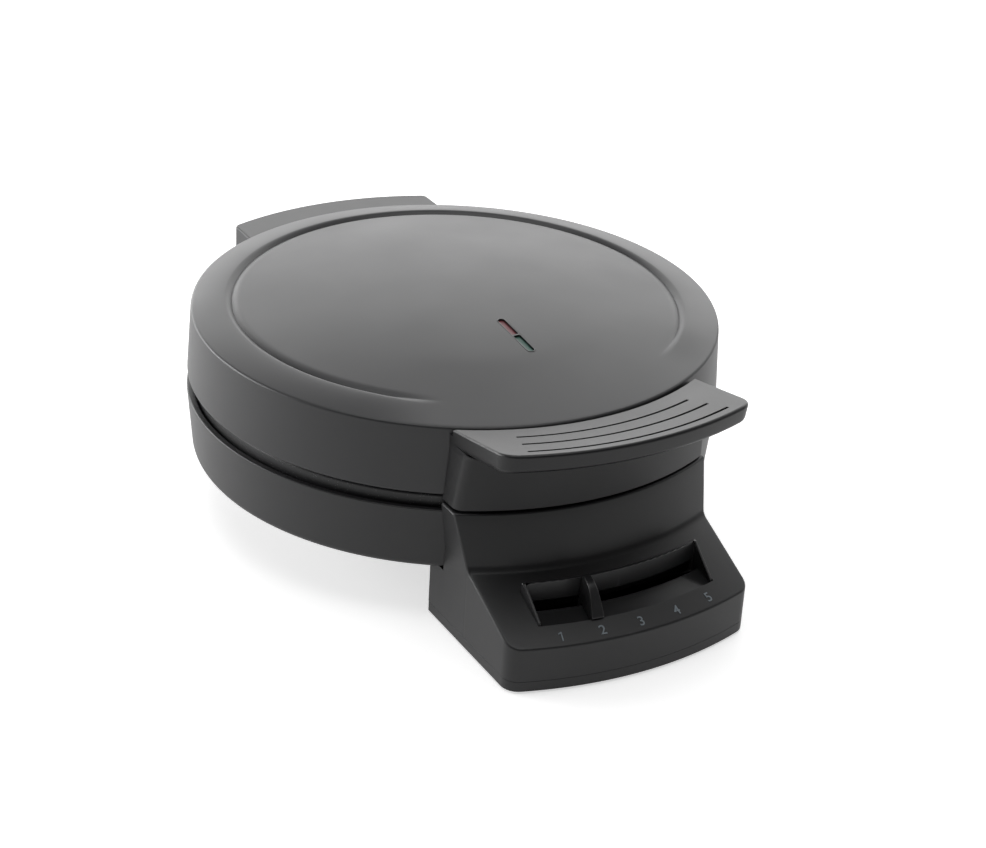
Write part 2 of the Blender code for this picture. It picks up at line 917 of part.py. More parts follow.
def build_upper_holes(plate):
    """Holes and head seats through the lands of the upper plate."""
    add = in_plate_frame(upper_plate_frame)
    places = ring_places(boss_ring_radius, land_angles)
    through = rods(places, screw_radius + screw_gap, -cut_overrun, plate_depth + cut_overrun)
    cut(plate, add("upper_screw_holes", through))
    seat_depth = plate_gap / 2 + screw_head_height + fit_gap
    seats = rods(places, screw_head_radius + screw_gap, -cut_overrun, seat_depth)
    cut(plate, add("upper_screw_seats", seats))


def heater_points():
    """Open loop under the plate whose ends turn away from it."""
    depth = plate_depth + fit_gap + heater_radius
    start = math.pi + heater_open_angle
    sweep = 2 * math.pi - 2 * heater_open_angle
    points = []
    bend = heater_radius * 2
    bend_angle = bend / heater_ring_radius
    for i in range(heater_steps + 1):
        angle = start + bend_angle + (sweep - 2 * bend_angle) * i / heater_steps
        points.append(plan_point(heater_ring_radius, angle, depth))
    for end, side in ((start, -1), (start + sweep, 1)):
        tail = []
        for i in range(1, heater_bend_steps + 1):
            turn = math.pi / 2 * i / heater_bend_steps
            angle = end - side * bend_angle * (1 - math.sin(turn))
            tail.append(plan_point(heater_ring_radius, angle, depth + bend * (1 - math.cos(turn))))
        tail.append(tail[-1] + Vector((0, 0, heater_tail)))
        points = list(reversed(tail)) + points if side < 0 else points + tail
    return points


def tube(name, points, radius, shade, parent, location=(0, 0, 0), resolution=2):
    """A round tube along a list of points."""
    curve = bpy.data.curves.new(name, "CURVE")
    curve.dimensions = "3D"
    curve.bevel_depth = radius
    curve.bevel_resolution = resolution
    curve.use_fill_caps = True
    spline = curve.splines.new("POLY")
    spline.points.add(len(points) - 1)
    for place, point in zip(spline.points, points):
        place.co = (*point, 1.0)
    curve.materials.append(shade)
    made = bpy.data.objects.new(name, curve)
    made.parent = parent
    made.location = location
    bpy.context.collection.objects.link(made)
    return made


def build_heater(prefix, frame):
    tube(f"{prefix}_heater", heater_points(), heater_radius, heater_steel(), frame)


def build_heat_shield(prefix, frame):
    add = in_plate_frame(frame)
    inner, outer = shield_depth, shield_depth + shield_thickness
    lip = shield_thickness * 3
    profile = [
        (0, inner),
        (shield_radius - shield_thickness, inner),
        (shield_radius - shield_thickness, inner - lip),
        (shield_radius, inner - lip),
        (shield_radius, outer),
        (0, outer),
    ]
    form = turned(lambda angle: profile, shield_steps)
    shield = add(f"{prefix}_heat_shield", form, sheet_aluminium())
    low, high = inner - cut_overrun, outer + cut_overrun
    cut(shield, add(f"{prefix}_shield_screw_hole", rods([(0, 0)], screw_radius + screw_gap, low, high)))
    tails = ring_places(heater_ring_radius, [math.pi - heater_open_angle, math.pi + heater_open_angle])
    cut(shield, add(f"{prefix}_shield_tail_holes", rods(tails, heater_radius + shield_hole_gap, low, high)))
    shank = (outer - plate_depth) / 2
    add_screw(f"{prefix}_shield_screw", (0, 0, outer + fit_gap), (0, 0, -1), shank, frame)


def build_plate_screws():
    lower_length = (mating_height - plate_depth - body_lift) / 2
    upper_length = plate_depth + boss_radius
    face = mating_height + plate_gap / 2 + screw_head_height + fit_gap / 2
    for index, place in enumerate(ring_places(boss_ring_radius, land_angles), 1):
        head = (*place, body_lift - fit_gap)
        add_screw(f"lower_plate_screw_{index}", head, (0, 0, 1), lower_length, body_frame)
        head = (*place, face)
        add_screw(f"upper_plate_screw_{index}", head, (0, 0, 1), upper_length, lid_hinge, lid_origin)


# Control housing
def console_plan(inset, lift_share):
    """Plan outline of the control housing at the foot (0) or the top (1) of the neck."""
    half_width = console_half_width + (neck_top_half_width - console_half_width) * lift_share
    corner = console_corner - inset
    return round_front_outline(half_width - inset, console_reach - inset, corner, console_rear + inset)


def console_body(name, inset, bottom):
    """Upright block with the plan of the control housing."""
    heights = ((bottom, 0), (neck_foot_height, 0), (neck_top_height, 1), (neck_top_height + cut_overrun, 1))
    loops = []
    for height, lift_share in heights:
        loops.append([Vector((x, y, height)) for x, y in console_plan(inset, lift_share)])
    return on_base(name, loft(bmesh.new(), loops), satin_plastic() if inset == 0 else None)


def console_roof(name, inset):
    """Turned space under the sloping panel and behind the front of the neck."""
    drop = inset * panel_slope_factor
    far = console_reach + console_corner
    profile = [
        (console_rear / 2, -cut_overrun),
        (far, -cut_overrun),
        (far, panel_line(far) - drop),
        (neck_foot_radius - inset / 2, neck_foot_height - drop),
        (neck_top_radius - inset, neck_top_height - edge_round - inset),
        (neck_top_radius - inset - edge_round, neck_top_height - inset),
        (console_rear / 2, neck_top_height - inset),
    ]
    return on_base(name, sector(profile, -math.pi / 2, math.pi / 2, turn_steps // 2 + 5))


def slot_outline(grow, inner, outer):
    """Plan outline of the slider slot between two arcs."""
    half = slot_half_width + grow
    inner_angle = math.asin(half / inner)
    outer_angle = math.asin(half / outer)
    return arc(outer, -outer_angle, outer_angle, 11) + arc(inner, inner_angle, -inner_angle, 11)


def slot_hood():
    """Raised surround of the slot: a level back and two side rims that fall to the panel."""
    inner = neck_foot_radius - joint_overlap
    outline = slot_outline(slot_rim, inner, slot_outer_radius)
    hood = on_base("slot_hood", prism(outline, slot_floor_height + slot_slit_height, neck_top_height))
    top = neck_foot_height + joint_overlap / 2
    front = panel_line(slot_outer_radius) + slot_rim_front_rise
    profile = [
        (inner - cut_overrun, top),
        (slot_inner_radius, top),
        (slot_outer_radius, front),
        (slot_outer_radius + cut_overrun, front),
        (slot_outer_radius + cut_overrun, rim_height),
        (inner - cut_overrun, rim_height),
    ]
    cut(hood, on_base("slot_hood_top", sector(profile, -math.pi / 4, math.pi / 4, 19)))
    floor_line = [
        (inner - cut_overrun, 0),
        (slot_outer_radius + cut_overrun, 0),
        (slot_outer_radius + cut_overrun, panel_line(slot_outer_radius + cut_overrun) - console_wall),
        (inner - cut_overrun, panel_line(inner - cut_overrun) - console_wall),
    ]
    cut(hood, on_base("slot_hood_foot", sector(floor_line, -math.pi / 4, math.pi / 4, 19)))
    return hood


def cover_post_places():
    front = [(-front_post_x, -front_post_y), (front_post_x, -front_post_y)]
    return front + [(-rear_post_x, -rear_post_y), (rear_post_x, -rear_post_y)]


def build_control_housing():
    body = console_body("control_housing", 0, cover_top + fit_gap)
    trim_to(body, console_roof("console_skin", 0))
    hollow = console_body("console_hollow", console_wall, 0)
    trim_to(hollow, console_roof("console_inner_roof", console_wall))
    deck = block(
        (-neck_top_half_width, neck_top_half_width),
        (-base_bottom_radius, -console_rear + cut_overrun),
        (deck_top - console_wall, rim_height),
    )
    cut(hollow, on_base("console_deck", deck))
    cut(body, hollow)
    unite(body, slot_hood())
    front_posts, rear_posts = cover_post_places()[:2], cover_post_places()[2:]
    front_top = panel_line(math.hypot(front_post_x, front_post_y) + post_radius) - console_wall / 2
    unite(body, on_base("console_front_posts", rods(front_posts, post_radius, post_bottom, front_top)))
    deck_under = deck_top - console_wall / 2
    unite(body, on_base("console_rear_posts", rods(rear_posts, post_radius, post_bottom, deck_under)))
    deck_places = deck_screw_places()[0]
    deck_bottom = deck_top - console_wall - deck_post_length
    unite(body, on_base("console_deck_posts", rods(deck_places, post_radius, deck_bottom, deck_under)))
    cut(body, bowl_clearance("console_bowl_space"))
    bore = screw_radius + screw_gap
    bore_top = post_bottom + deck_post_length
    bores = rods(cover_post_places(), bore, post_bottom - cut_overrun, bore_top)
    cut(body, on_base("console_post_bores", bores))
    cut(body, on_base("console_deck_bores", rods(deck_places, bore, deck_bottom + bore, deck_top + cut_overrun)))
    cut(body, on_base("console_shaft_hole", rods([shaft_place()], pinion_hub_radius, cover_top, rim_height)))
    slot = prism(slot_outline(0, slot_inner_radius, slot_outer_radius), cover_top, rim_height)
    cut(body, on_base("slot_opening", slot))


def build_slider_track():
    """Tray under the slot: a floor, low walls and the slit that the slider arm runs in."""
    outline = slot_outline(track_wall, slot_inner_radius - track_wall, slot_outer_radius + track_wall)
    floor_bottom = slot_floor_height - track_wall
    tray = on_base("slider_track", prism(outline, floor_bottom, neck_foot_height), gloss_plastic())
    trim_to(tray, console_roof("track_roof", console_wall + fit_gap))
    opening = slot_outline(0, slot_inner_radius, slot_outer_radius)
    cut(tray, on_base("track_opening", prism(opening, slot_floor_height, rim_height)))
    slit_inner = slot_inner_radius - track_wall - cut_overrun
    slit = slot_outline(-track_wall, slit_inner, slot_inner_radius + track_wall)
    slit_top = slot_floor_height + slot_slit_height
    cut(tray, on_base("track_slit", prism(slit, slot_floor_height, slit_top)))


def guide_profile(radius):
    return [
        (radius, cover_floor_top - joint_overlap),
        (radius + guide_rib_width, cover_floor_top - joint_overlap),
        (radius + guide_rib_width, carriage_height - fit_gap),
        (radius, carriage_height - fit_gap),
    ]


def foot_places():
    front = [(-front_foot_x, -front_foot_y), (front_foot_x, -front_foot_y)]
    rear = [(-rear_foot_x, rear_foot_y), (rear_foot_x, rear_foot_y)]
    return front, rear


def add_cover_screws(name, places):
    head_top = screw_seat_top - fit_gap
    for index, place in enumerate(places, 1):
        add_screw(f"{name}_{index}", (*place, head_top), (0, 0, 1), deck_post_length, body_frame)


def cut_cover_fixings(cover, name, screw_places, feet):
    """Screw pads with their holes and head seats, and foot seats in a bottom cover."""
    pad_radius = screw_head_radius + screw_gap + screw_pad
    pads = rods(screw_places, pad_radius, cover_bottom + joint_overlap, screw_seat_top + screw_pad)
    unite(cover, on_base(f"{name}_screw_pads", pads))
    holes = rods(screw_places, screw_radius + screw_gap, 0, cover_height + cut_overrun)
    cut(cover, on_base(f"{name}_screw_holes", holes))
    heads = rods(screw_places, screw_head_radius + screw_gap, 0, screw_seat_top)
    cut(cover, on_base(f"{name}_head_seats", heads))
    seats = rods(feet, foot_radius + fit_gap, 0, cover_bottom + foot_seat_depth, foot_steps)
    cut(cover, on_base(f"{name}_foot_seats", seats))


def build_control_cover():
    plan = console_plan(0, 0)
    cover = on_base("control_bottom_cover", prism(plan, cover_bottom, cover_top), satin_plastic())
    inner = console_plan(console_wall, 0)
    cut(cover, on_base("control_cover_pocket", prism(inner, cover_floor_top, cover_top + cut_overrun)))
    for index, radius in enumerate((guide_radius, guide_radius + guide_spacing)):
        rib = sector(guide_profile(radius), -guide_half_angle, guide_half_angle, 8)
        unite(cover, on_base(f"guide_rib_{index}", rib))
    outer = shaft_radius + shaft_gap + bearing_wall
    socket = rods([shaft_place()], outer, cover_floor_top - joint_overlap, cover_floor_top + bearing_height)
    unite(cover, on_base("shaft_bearing", socket))
    bore = rods(
        [shaft_place()],
        shaft_radius + fit_gap,
        cover_floor_top,
        cover_floor_top + bearing_height + cut_overrun,
    )
    cut(cover, on_base("shaft_bearing_bore", bore))
    cut_cover_fixings(cover, "control_cover", cover_post_places(), foot_places()[0])
    add_cover_screws("control_cover_screw", cover_post_places())


def build_feet():
    shaped = on_base("foot_form", rods([(0, 0)], foot_radius, 0, foot_height, foot_steps), rubber())
    for end, places in zip(("front", "rear"), foot_places()):
        for side, place in zip(("left", "right"), places):
            foot = bpy.data.objects.new(f"{end}_foot_{side}", shaped.data)
            foot.parent = body_frame
            foot.location = (*place, 0)
            bpy.context.collection.objects.link(foot)
    bpy.data.objects.remove(shaped)


# Slider, rack and thermostat drive
def on_slider(name, bm, shade=None):
    """Build about the front, then turn to the rest place on the scale."""
    bm.transform(Matrix.Rotation(slider_rest_angle, 4, "Z"))
    return finish(name, bm, shade, slider_pivot)


def rack_outline():
    """Carriage in plan: teeth on the inner arc, a rim and a stem towards the knob."""
    pitch = 2 * math.pi / rack_teeth_per_turn
    rim_radius = pitch_radius + tooth_root_depth + rack_rim
    outer = web_radius + web_thickness
    points = arc(rim_radius, -rack_half_angle, -carriage_half_angle, 6)
    points += arc(outer, -carriage_half_angle, carriage_half_angle, 6)
    points += arc(rim_radius, carriage_half_angle, rack_half_angle, 6)
    root = pitch_radius + tooth_root_depth
    tip = pitch_radius - tooth_tip_height
    teeth = int(rack_half_angle / pitch)
    phase = slider_rest_angle % pitch
    half_tip = pitch * tooth_share * tooth_tip_share / 2
    half_root = pitch * tooth_share * tooth_root_share / 2
    points.append(tuple(plan_point(root, rack_half_angle)[:2]))
    for index in range(teeth, -teeth - 1, -1):
        centre = index * pitch - phase
        if abs(centre) > rack_half_angle - half_root:
            continue
        for radius, shift in ((root, half_root), (tip, half_tip), (tip, -half_tip), (root, -half_root)):
            points.append(tuple(plan_point(radius, centre + shift)[:2]))
    points.append(tuple(plan_point(root, -rack_half_angle)[:2]))
    return points


def arm_height():
    return slot_floor_height + (slot_slit_height - arm_thickness) / 2


def build_carriage():
    top = carriage_height + carriage_thickness
    carriage = on_slider("slider_carriage", prism(rack_outline(), carriage_height, top), gloss_plastic())
    shoe_inner = guide_radius + guide_rib_width + fit_gap
    shoe_outer = guide_radius + guide_spacing - fit_gap
    bottom = carriage_height - shoe_drop
    joined = carriage_height + joint_overlap
    shoe = [(shoe_inner, bottom), (shoe_outer, bottom), (shoe_outer, joined), (shoe_inner, joined)]
    half = carriage_half_angle * 0.9
    unite(carriage, on_slider("carriage_shoe", sector(shoe, -half, half, 4)))
    arm_top = arm_height() + arm_thickness
    web = block(
        (-arm_half_width * 2, arm_half_width * 2),
        (-web_radius - web_thickness + joint_overlap, -web_radius),
        (top - joint_overlap, arm_top),
    )
    unite(carriage, on_slider("carriage_web", web))
    arm = block(
        (-arm_half_width, arm_half_width),
        (-slot_inner_radius - arm_reach, -web_radius - joint_overlap),
        (arm_height(), arm_top - joint_overlap / 4),
    )
    unite(carriage, on_slider("carriage_arm", arm))


def build_slider_knob():
    """Fin that stands in the slot, upright at the back and rounded down to the front."""
    back = slot_inner_radius + fit_gap * 1.5
    tip = slot_outer_radius + knob_overhang
    top = neck_foot_height + knob_rise
    foot = slot_floor_height + fit_gap
    front_foot = panel_line(slot_outer_radius) + slot_rim_front_rise + fit_gap
    inside = slot_outer_radius - fit_gap * 2
    length, height = tip - back, top - front_foot
    outline = [
        (back, foot),
        (back, top - height * 0.04),
        (back + length * 0.06, top),
        (back + length * 0.27, top - height * 0.03),
        (back + length * 0.55, top - height * 0.19),
        (back + length * 0.80, top - height * 0.52),
        (tip, front_foot + height * 0.09),
        (tip - fit_gap, front_foot),
        (inside, front_foot),
        (inside, foot),
    ]
    middle_r, middle_z = back + length / 2, front_foot + height / 2
    loops = []
    for side, inset in ((-1, knob_bevel), (-1, 0), (1, 0), (1, knob_bevel)):
        loop = []
        for r, z in outline:
            point_r = middle_r + (r - middle_r) * (1 - 2 * inset / length)
            point_z = middle_z + (z - middle_z) * (1 - 2 * inset / height)
            rise_share = (point_z - foot) / (top - foot)
            half = knob_half_width + (knob_top_half_width - knob_half_width) * rise_share
            loop.append(Vector((side * (half - knob_bevel + inset), -point_r, point_z)))
        loops.append(loop)
    knob = on_slider("slider_knob", loft(bmesh.new(), loops), gloss_plastic())
    pocket = block(
        (-arm_half_width - fit_gap, arm_half_width + fit_gap),
        (-slot_inner_radius - arm_reach - fit_gap, -slot_inner_radius + cut_overrun),
        (0, arm_height() + arm_thickness + fit_gap),
    )
    cut(knob, on_slider("knob_pocket", pocket))


def pinion_outline():
    points = []
    pitch = 2 * math.pi / pinion_teeth
    half_tip = pitch * tooth_share * tooth_tip_share / 2
    half_root = pitch * tooth_share * tooth_root_share / 2
    root = pinion_radius - tooth_root_depth
    tip = pinion_radius + tooth_tip_height
    for index in range(pinion_teeth):
        centre = pitch * (index + 0.5)
        for radius, shift in ((root, -half_root), (tip, -half_tip), (tip, half_tip), (root, half_root)):
            points.append(tuple(plan_point(radius, centre + shift)[:2]))
    return points


def build_thermostat_drive():
    bottom = carriage_height - fit_gap * 2
    top = carriage_height + carriage_thickness + fit_gap * 2
    pinion = finish("thermostat_pinion", prism(pinion_outline(), bottom, top), gloss_plastic(), thermostat_axis)
    hub = rods([(0, 0)], pinion_hub_radius - shaft_gap, top - joint_overlap, top + pinion_hub_height)
    unite(pinion, finish("pinion_hub", hub, None, thermostat_axis))
    bore = rods([(0, 0)], shaft_radius + fit_gap, 0, rim_height)
    cut(pinion, finish("pinion_bore", bore, None, thermostat_axis))
    shaft = rods([(0, 0)], shaft_radius, cover_floor_top + fit_gap, thermostat_bottom - fit_gap)
    finish("thermostat_shaft", shaft, bare_steel(), thermostat_axis)


def build_thermostat():
    y = -pinion_ring
    top = thermostat_bottom + thermostat_height
    body = block(
        (-thermostat_half_width, thermostat_half_width),
        (y - thermostat_half_depth, y + thermostat_half_depth),
        (thermostat_bottom, top),
    )
    on_base("thermostat", body, ceramic())
    bm = bmesh.new()
    reach = plate_back_height - fit_gap
    half = thermostat_half_width + bracket_strip
    depth = (y - bracket_half_depth, y + bracket_half_depth)
    outline = [
        (-half, reach),
        (-half, top + fit_gap),
        (half, top + fit_gap),
        (half, reach),
        (half - bracket_strip, reach),
        (half - bracket_strip, top + fit_gap + bracket_strip),
        (-half + bracket_strip, top + fit_gap + bracket_strip),
        (-half + bracket_strip, reach),
    ]
    loft(bm, [[Vector((x, y_place, z)) for x, z in outline] for y_place in depth])
    on_base("thermostat_bracket", bm, bare_steel())


def build_thermal_fuse():
    """A small capsule that lies against the back of the lower plate."""
    height = plate_back_height - fit_gap - fuse_radius
    bm = rods([(0, 0)], fuse_radius, -fuse_half_length, fuse_half_length)
    place = plan_point(fuse_ring_radius, fuse_angle, height)
    turn = Matrix.Rotation(fuse_angle, 4, "Z") @ Matrix.Rotation(math.pi / 2, 4, "Y")
    bm.transform(Matrix.Translation(place) @ turn)
    on_base("thermal_fuse", bm, bare_steel())


# Handle
def handle_plan(inset, height_share):
    """Plan outline of the grip; the sides spread a little towards the foot of the apron."""
    spread = (apron_bottom_half_width - handle_half_width) * height_share
    corner = handle_corner - inset
    return round_front_outline(handle_half_width + spread - inset, handle_reach - inset, corner, console_rear)


def handle_block(name, inset, shade=None):
    grip_foot = rim_height - handle_thickness
    loops = []
    for height, share in ((mating_height - cut_overrun, 1), (grip_foot, 0), (rim_height * 2, 0)):
        loops.append([Vector((x, y, height)) for x, y in handle_plan(inset, share)])
    return on_lid(name, loft(bmesh.new(), loops), shade)


def handle_section(inset):
    """Profile of the sloping grip and the apron below it."""
    under = handle_thickness - inset
    bend = handle_edge_round * 2
    front = handle_reach + cut_overrun - inset
    foot = apron_bottom - cut_overrun if inset else apron_bottom
    start = handle_inner_radius if not inset else handle_inner_radius + inset
    step_floor = rim_height + handle_inner_rise - handle_groove_depth - inset
    profile = [
        (console_rear, step_floor),
        (start - edge_round / 2, step_floor),
        (start - edge_round / 2, handle_line(start) - edge_round - inset),
        (start, handle_line(start) - inset),
        (front, handle_line(front) - inset),
        (front, handle_line(front) - under),
        (apron_top_radius - inset + bend * 1.5, handle_line(apron_top_radius - inset + bend * 1.5) - under),
        (apron_top_radius - inset, handle_line(apron_top_radius - inset) - under - bend),
        (apron_bottom_radius - inset, foot),
        (console_rear, foot),
    ]
    return profile


def skirt_space(name):
    """The space that the handle and rear cover leave for the flared lid skirt."""
    profile = [
        (0, 0),
        (body_radius + skirt_flare + fit_gap, 0),
        (body_radius + skirt_flare + fit_gap, lid_bottom + skirt_chamfer),
        (body_radius + fit_gap, rim_height),
        (body_radius + fit_gap, rim_height * 1.5),
        (0, rim_height * 1.5),
    ]
    return on_lid(name, turned(lambda angle: profile))


def build_handle():
    half_turn = (-math.pi / 3, math.pi / 3, 24)
    handle = handle_block("lid_handle", 0, satin_plastic())
    trim_to(handle, on_lid("handle_form", sector(handle_section(0), *half_turn)))
    hollow = handle_block("handle_hollow", handle_wall)
    trim_to(hollow, on_lid("handle_hollow_form", sector(handle_section(handle_wall), *half_turn)))
    keep = block((-body_radius, body_radius), (-handle_reach, 0), (0, apron_bottom + handle_wall))
    cut(hollow, on_lid("handle_floor", keep))
    cut(handle, hollow)
    angles = (-side_screw_angle, side_screw_angle)
    inner = body_radius
    outer = apron_top_radius - handle_wall / 2
    for index, angle in enumerate(angles):
        boss = radial_rod("handle_boss", side_boss_radius, inner, outer, angle, side_screw_height)
        unite(handle, on_lid(f"handle_boss_{index}", boss))
    cut(handle, skirt_space("handle_skirt_space"))
    bore_end = inner + skirt_flare + side_boss_length
    for bore in radial_holes("handle_bore", on_lid, inner - cut_overrun, bore_end, angles, screw_radius + screw_gap):
        cut(handle, bore)
    for index in range(grip_groove_count):
        radius = grip_groove_first + grip_groove_spacing * index
        inner, outer = radius - grip_groove_width / 2, radius + grip_groove_width / 2
        profile = [
            (inner, handle_line(inner) - grip_groove_depth),
            (outer, handle_line(outer) - grip_groove_depth),
            (outer, handle_line(outer) + cut_overrun),
            (inner, handle_line(inner) + cut_overrun),
        ]
        groove = sector(profile, -grip_groove_angle, grip_groove_angle, 9)
        cut(handle, on_lid(f"grip_groove_{index}", groove))


def add_side_screws(name, middle_angle):
    """Screws from inside the lid, out through its skirt."""
    start = body_radius - shell_wall - fit_gap
    length = shell_wall + side_boss_length
    for index, side in enumerate((-1, 1), 1):
        angle = middle_angle + side * side_screw_angle
        head = plan_point(start, angle, side_screw_height)
        add_screw(f"{name}_{index}", head, plan_point(start, angle), length, lid_hinge, lid_origin)


# Rear housing, rear cover and hinge
def rear_plan(inset):
    return round_front_outline(rear_half_width - inset, rear_reach - inset, rear_corner - inset, rear_front + inset, 1)


def rear_block(name, carrier, inset, bottom, top, shade=None):
    return carrier(name, prism(rear_plan(inset), bottom, top), shade)


def rear_shoulder(name, inset):
    """Turned space under the sloping top of the rear housing."""
    line = line_through((base_top_radius, rear_shoulder_height), (rear_reach, rear_back_height))
    far = rear_reach + cut_overrun
    profile = [
        (rear_front / 2, 0),
        (far, 0),
        (far, line(far) - inset),
        (base_top_radius - inset, line(base_top_radius - inset) - inset),
        (rear_front / 2, line(base_top_radius - inset) - inset),
    ]
    return on_base(name, sector(profile, math.pi * 0.6, math.pi * 1.4, 25))


def knuckle_outline(foot_height, steps=14):
    """Round end about the hinge axis with a straight stem down or up to foot_height."""
    side = 1 if foot_height > mating_height else -1
    points = []
    for i in range(steps + 1):
        angle = math.pi * i / steps
        y = hinge_reach - knuckle_radius * math.cos(angle)
        points.append((y, mating_height - side * knuckle_radius * math.sin(angle)))
    return points + [(hinge_reach + knuckle_radius, foot_height), (hinge_reach - knuckle_radius, foot_height)]


def hinge_bore(name, carrier, half_length):
    bm = rods([(0, 0)], hinge_rod_radius + fit_gap, -half_length, half_length, 16)
    bm.transform(Matrix.Translation((0, hinge_reach, mating_height)) @ Matrix.Rotation(math.pi / 2, 4, "Y"))
    return carrier(name, bm)


def rear_post_places():
    return [(-rear_cover_post_x, rear_cover_post_y), (rear_cover_post_x, rear_cover_post_y)]


def gland_axis():
    return Matrix.Translation((0, rear_reach, gland_height)) @ Matrix.Rotation(math.pi / 2, 4, "X")


def build_rear_housing():
    top = rear_shoulder_height + shell_wall
    housing = rear_block("rear_housing", on_base, 0, cover_top + fit_gap, top, satin_plastic())
    trim_to(housing, rear_shoulder("rear_skin", 0))
    hollow = rear_block("rear_hollow", on_base, shell_wall, cover_bottom, top)
    trim_to(hollow, rear_shoulder("rear_inner_shoulder", shell_wall))
    deck = block(
        (-rear_half_width, rear_half_width),
        (rear_front - cut_overrun, base_bottom_radius),
        (deck_top - shell_wall, rim_height),
    )
    cut(hollow, on_base("rear_deck", deck))
    cut(housing, hollow)
    tower = cross_bar(knuckle_outline(rear_back_height - shell_wall), -tower_half_width, tower_half_width)
    unite(housing, on_base("hinge_tower", tower))
    bore = screw_radius + screw_gap
    posts = rods(rear_post_places(), post_radius, post_bottom, deck_top - shell_wall / 2)
    unite(housing, on_base("rear_posts", posts))
    deck_places = deck_screw_places()[1]
    deck_bottom = deck_top - shell_wall - deck_post_length
    deck_posts = rods(deck_places, post_radius, deck_bottom, deck_top - shell_wall / 2)
    unite(housing, on_base("rear_deck_posts", deck_posts))
    cut(housing, bowl_clearance("rear_bowl_space"))
    post_bores = rods(rear_post_places(), bore, post_bottom - cut_overrun, post_bottom + deck_post_length)
    cut(housing, on_base("rear_post_bores", post_bores))
    deck_bores = rods(deck_places, bore, deck_bottom + bore, deck_top + cut_overrun)
    cut(housing, on_base("rear_deck_bores", deck_bores))
    leads = rods(lead_hole_places(), lead_hole_radius, deck_bottom, deck_top + cut_overrun)
    cut(housing, on_base("rear_lead_holes", leads))
    cut(housing, hinge_bore("tower_bore", on_base, rear_half_width))
    inlet = rods([(0, 0)], gland_radius + fit_gap, -cut_overrun, gland_length, 20)
    inlet.transform(gland_axis())
    cut(housing, on_base("inlet_hole", inlet))


def build_rear_bottom_cover():
    cover = rear_block("rear_bottom_cover", on_base, 0, cover_bottom, cover_top, satin_plastic())
    pocket = rear_block("rear_cover_pocket", on_base, shell_wall, cover_floor_top, cover_top + cut_overrun)
    cut(cover, pocket)
    cut_cover_fixings(cover, "rear_cover", rear_post_places(), foot_places()[1])
    add_cover_screws("rear_cover_screw", rear_post_places())


def build_lid_rear_cover():
    cover = rear_block("lid_rear_cover", on_lid, 0, rear_cover_bottom, rear_cover_top, satin_plastic())
    top = rear_cover_top - shell_wall
    cut(cover, rear_block("rear_cover_hollow", on_lid, shell_wall, 0, top))
    inner = tower_half_width + hinge_side_gap
    for index, side in enumerate((-1, 1)):
        ends = (side * inner, side * (inner + hinge_arm_width))
        arm = cross_bar(knuckle_outline(top + shell_wall / 2), min(ends), max(ends))
        unite(cover, on_lid(f"hinge_arm_{index}", arm))
    angles = (math.pi - side_screw_angle, math.pi + side_screw_angle)
    outer = rear_reach - shell_wall / 2
    for index, angle in enumerate(angles):
        boss = radial_rod("rear_boss", side_boss_radius, body_radius, outer, angle, side_screw_height)
        unite(cover, on_lid(f"rear_boss_{index}", boss))
    cut(cover, skirt_space("rear_skirt_space"))
    notch = block(
        (-inner, inner),
        (hinge_reach - knuckle_radius * 2, rear_reach + cut_overrun),
        (0, mating_height + tower_notch_rise),
    )
    cut(cover, on_lid("tower_notch", notch))
    cut(cover, hinge_bore("arm_bore", on_lid, rear_half_width))
    bore_end = body_radius + skirt_flare + side_boss_length
    bores = radial_holes(
        "rear_bore", on_lid, body_radius - cut_overrun, bore_end, angles, screw_radius + screw_gap
    )
    for bore in bores:
        cut(cover, bore)


def build_hinge_rod():
    """Steel rod through the tower and both arms, with a head at each end."""
    half = tower_half_width + hinge_side_gap + hinge_arm_width + fit_gap
    end = half + hinge_head_height
    profile = [
        (0, -end),
        (hinge_head_radius, -end),
        (hinge_head_radius, -half),
        (hinge_rod_radius, -half),
        (hinge_rod_radius, half),
        (hinge_head_radius, half),
        (hinge_head_radius, end),
        (0, end),
    ]
    bm = turned(lambda angle: profile, 16)
    bm.transform(Matrix.Translation((0, hinge_reach, mating_height)) @ Matrix.Rotation(math.pi / 2, 4, "Y"))
    on_base("hinge_rod", bm, bare_steel())


def build_housing_screws():
    front, back = deck_screw_places()
    length = bowl_floor + fit_gap + shell_wall + deck_post_length / 2
    for index, place in enumerate(front + back, 1):
        head = (*place, bowl_floor_top + fit_gap)
        add_screw(f"housing_screw_{index}", head, (0, 0, -1), length, body_frame)


# Cord inlet, terminal block and leads
def build_cord_gland():
    """Bush with a flange outside the wall and a plain bore for a cord."""
    profile = [
        (gland_bore_radius, -gland_flange),
        (gland_flange_radius - gland_flange / 2, -gland_flange),
        (gland_flange_radius, -gland_flange / 2),
        (gland_flange_radius, -fit_gap),
        (gland_radius, -fit_gap),
        (gland_radius, gland_length),
        (gland_bore_radius, gland_length),
    ]
    bm = turned(lambda angle: profile, 20)
    bm.transform(Matrix.Rotation(math.pi, 4, "Z"))
    bm.transform(gland_axis())
    on_base("cord_gland", bm, rubber())


def build_terminal_block():
    bottom = cover_floor_top + fit_gap
    top = bottom + terminal_height
    body = block(
        (-terminal_half_length, terminal_half_length),
        (terminal_y - terminal_half_width, terminal_y + terminal_half_width),
        (bottom, top),
    )
    on_base("terminal_block", body, ceramic())


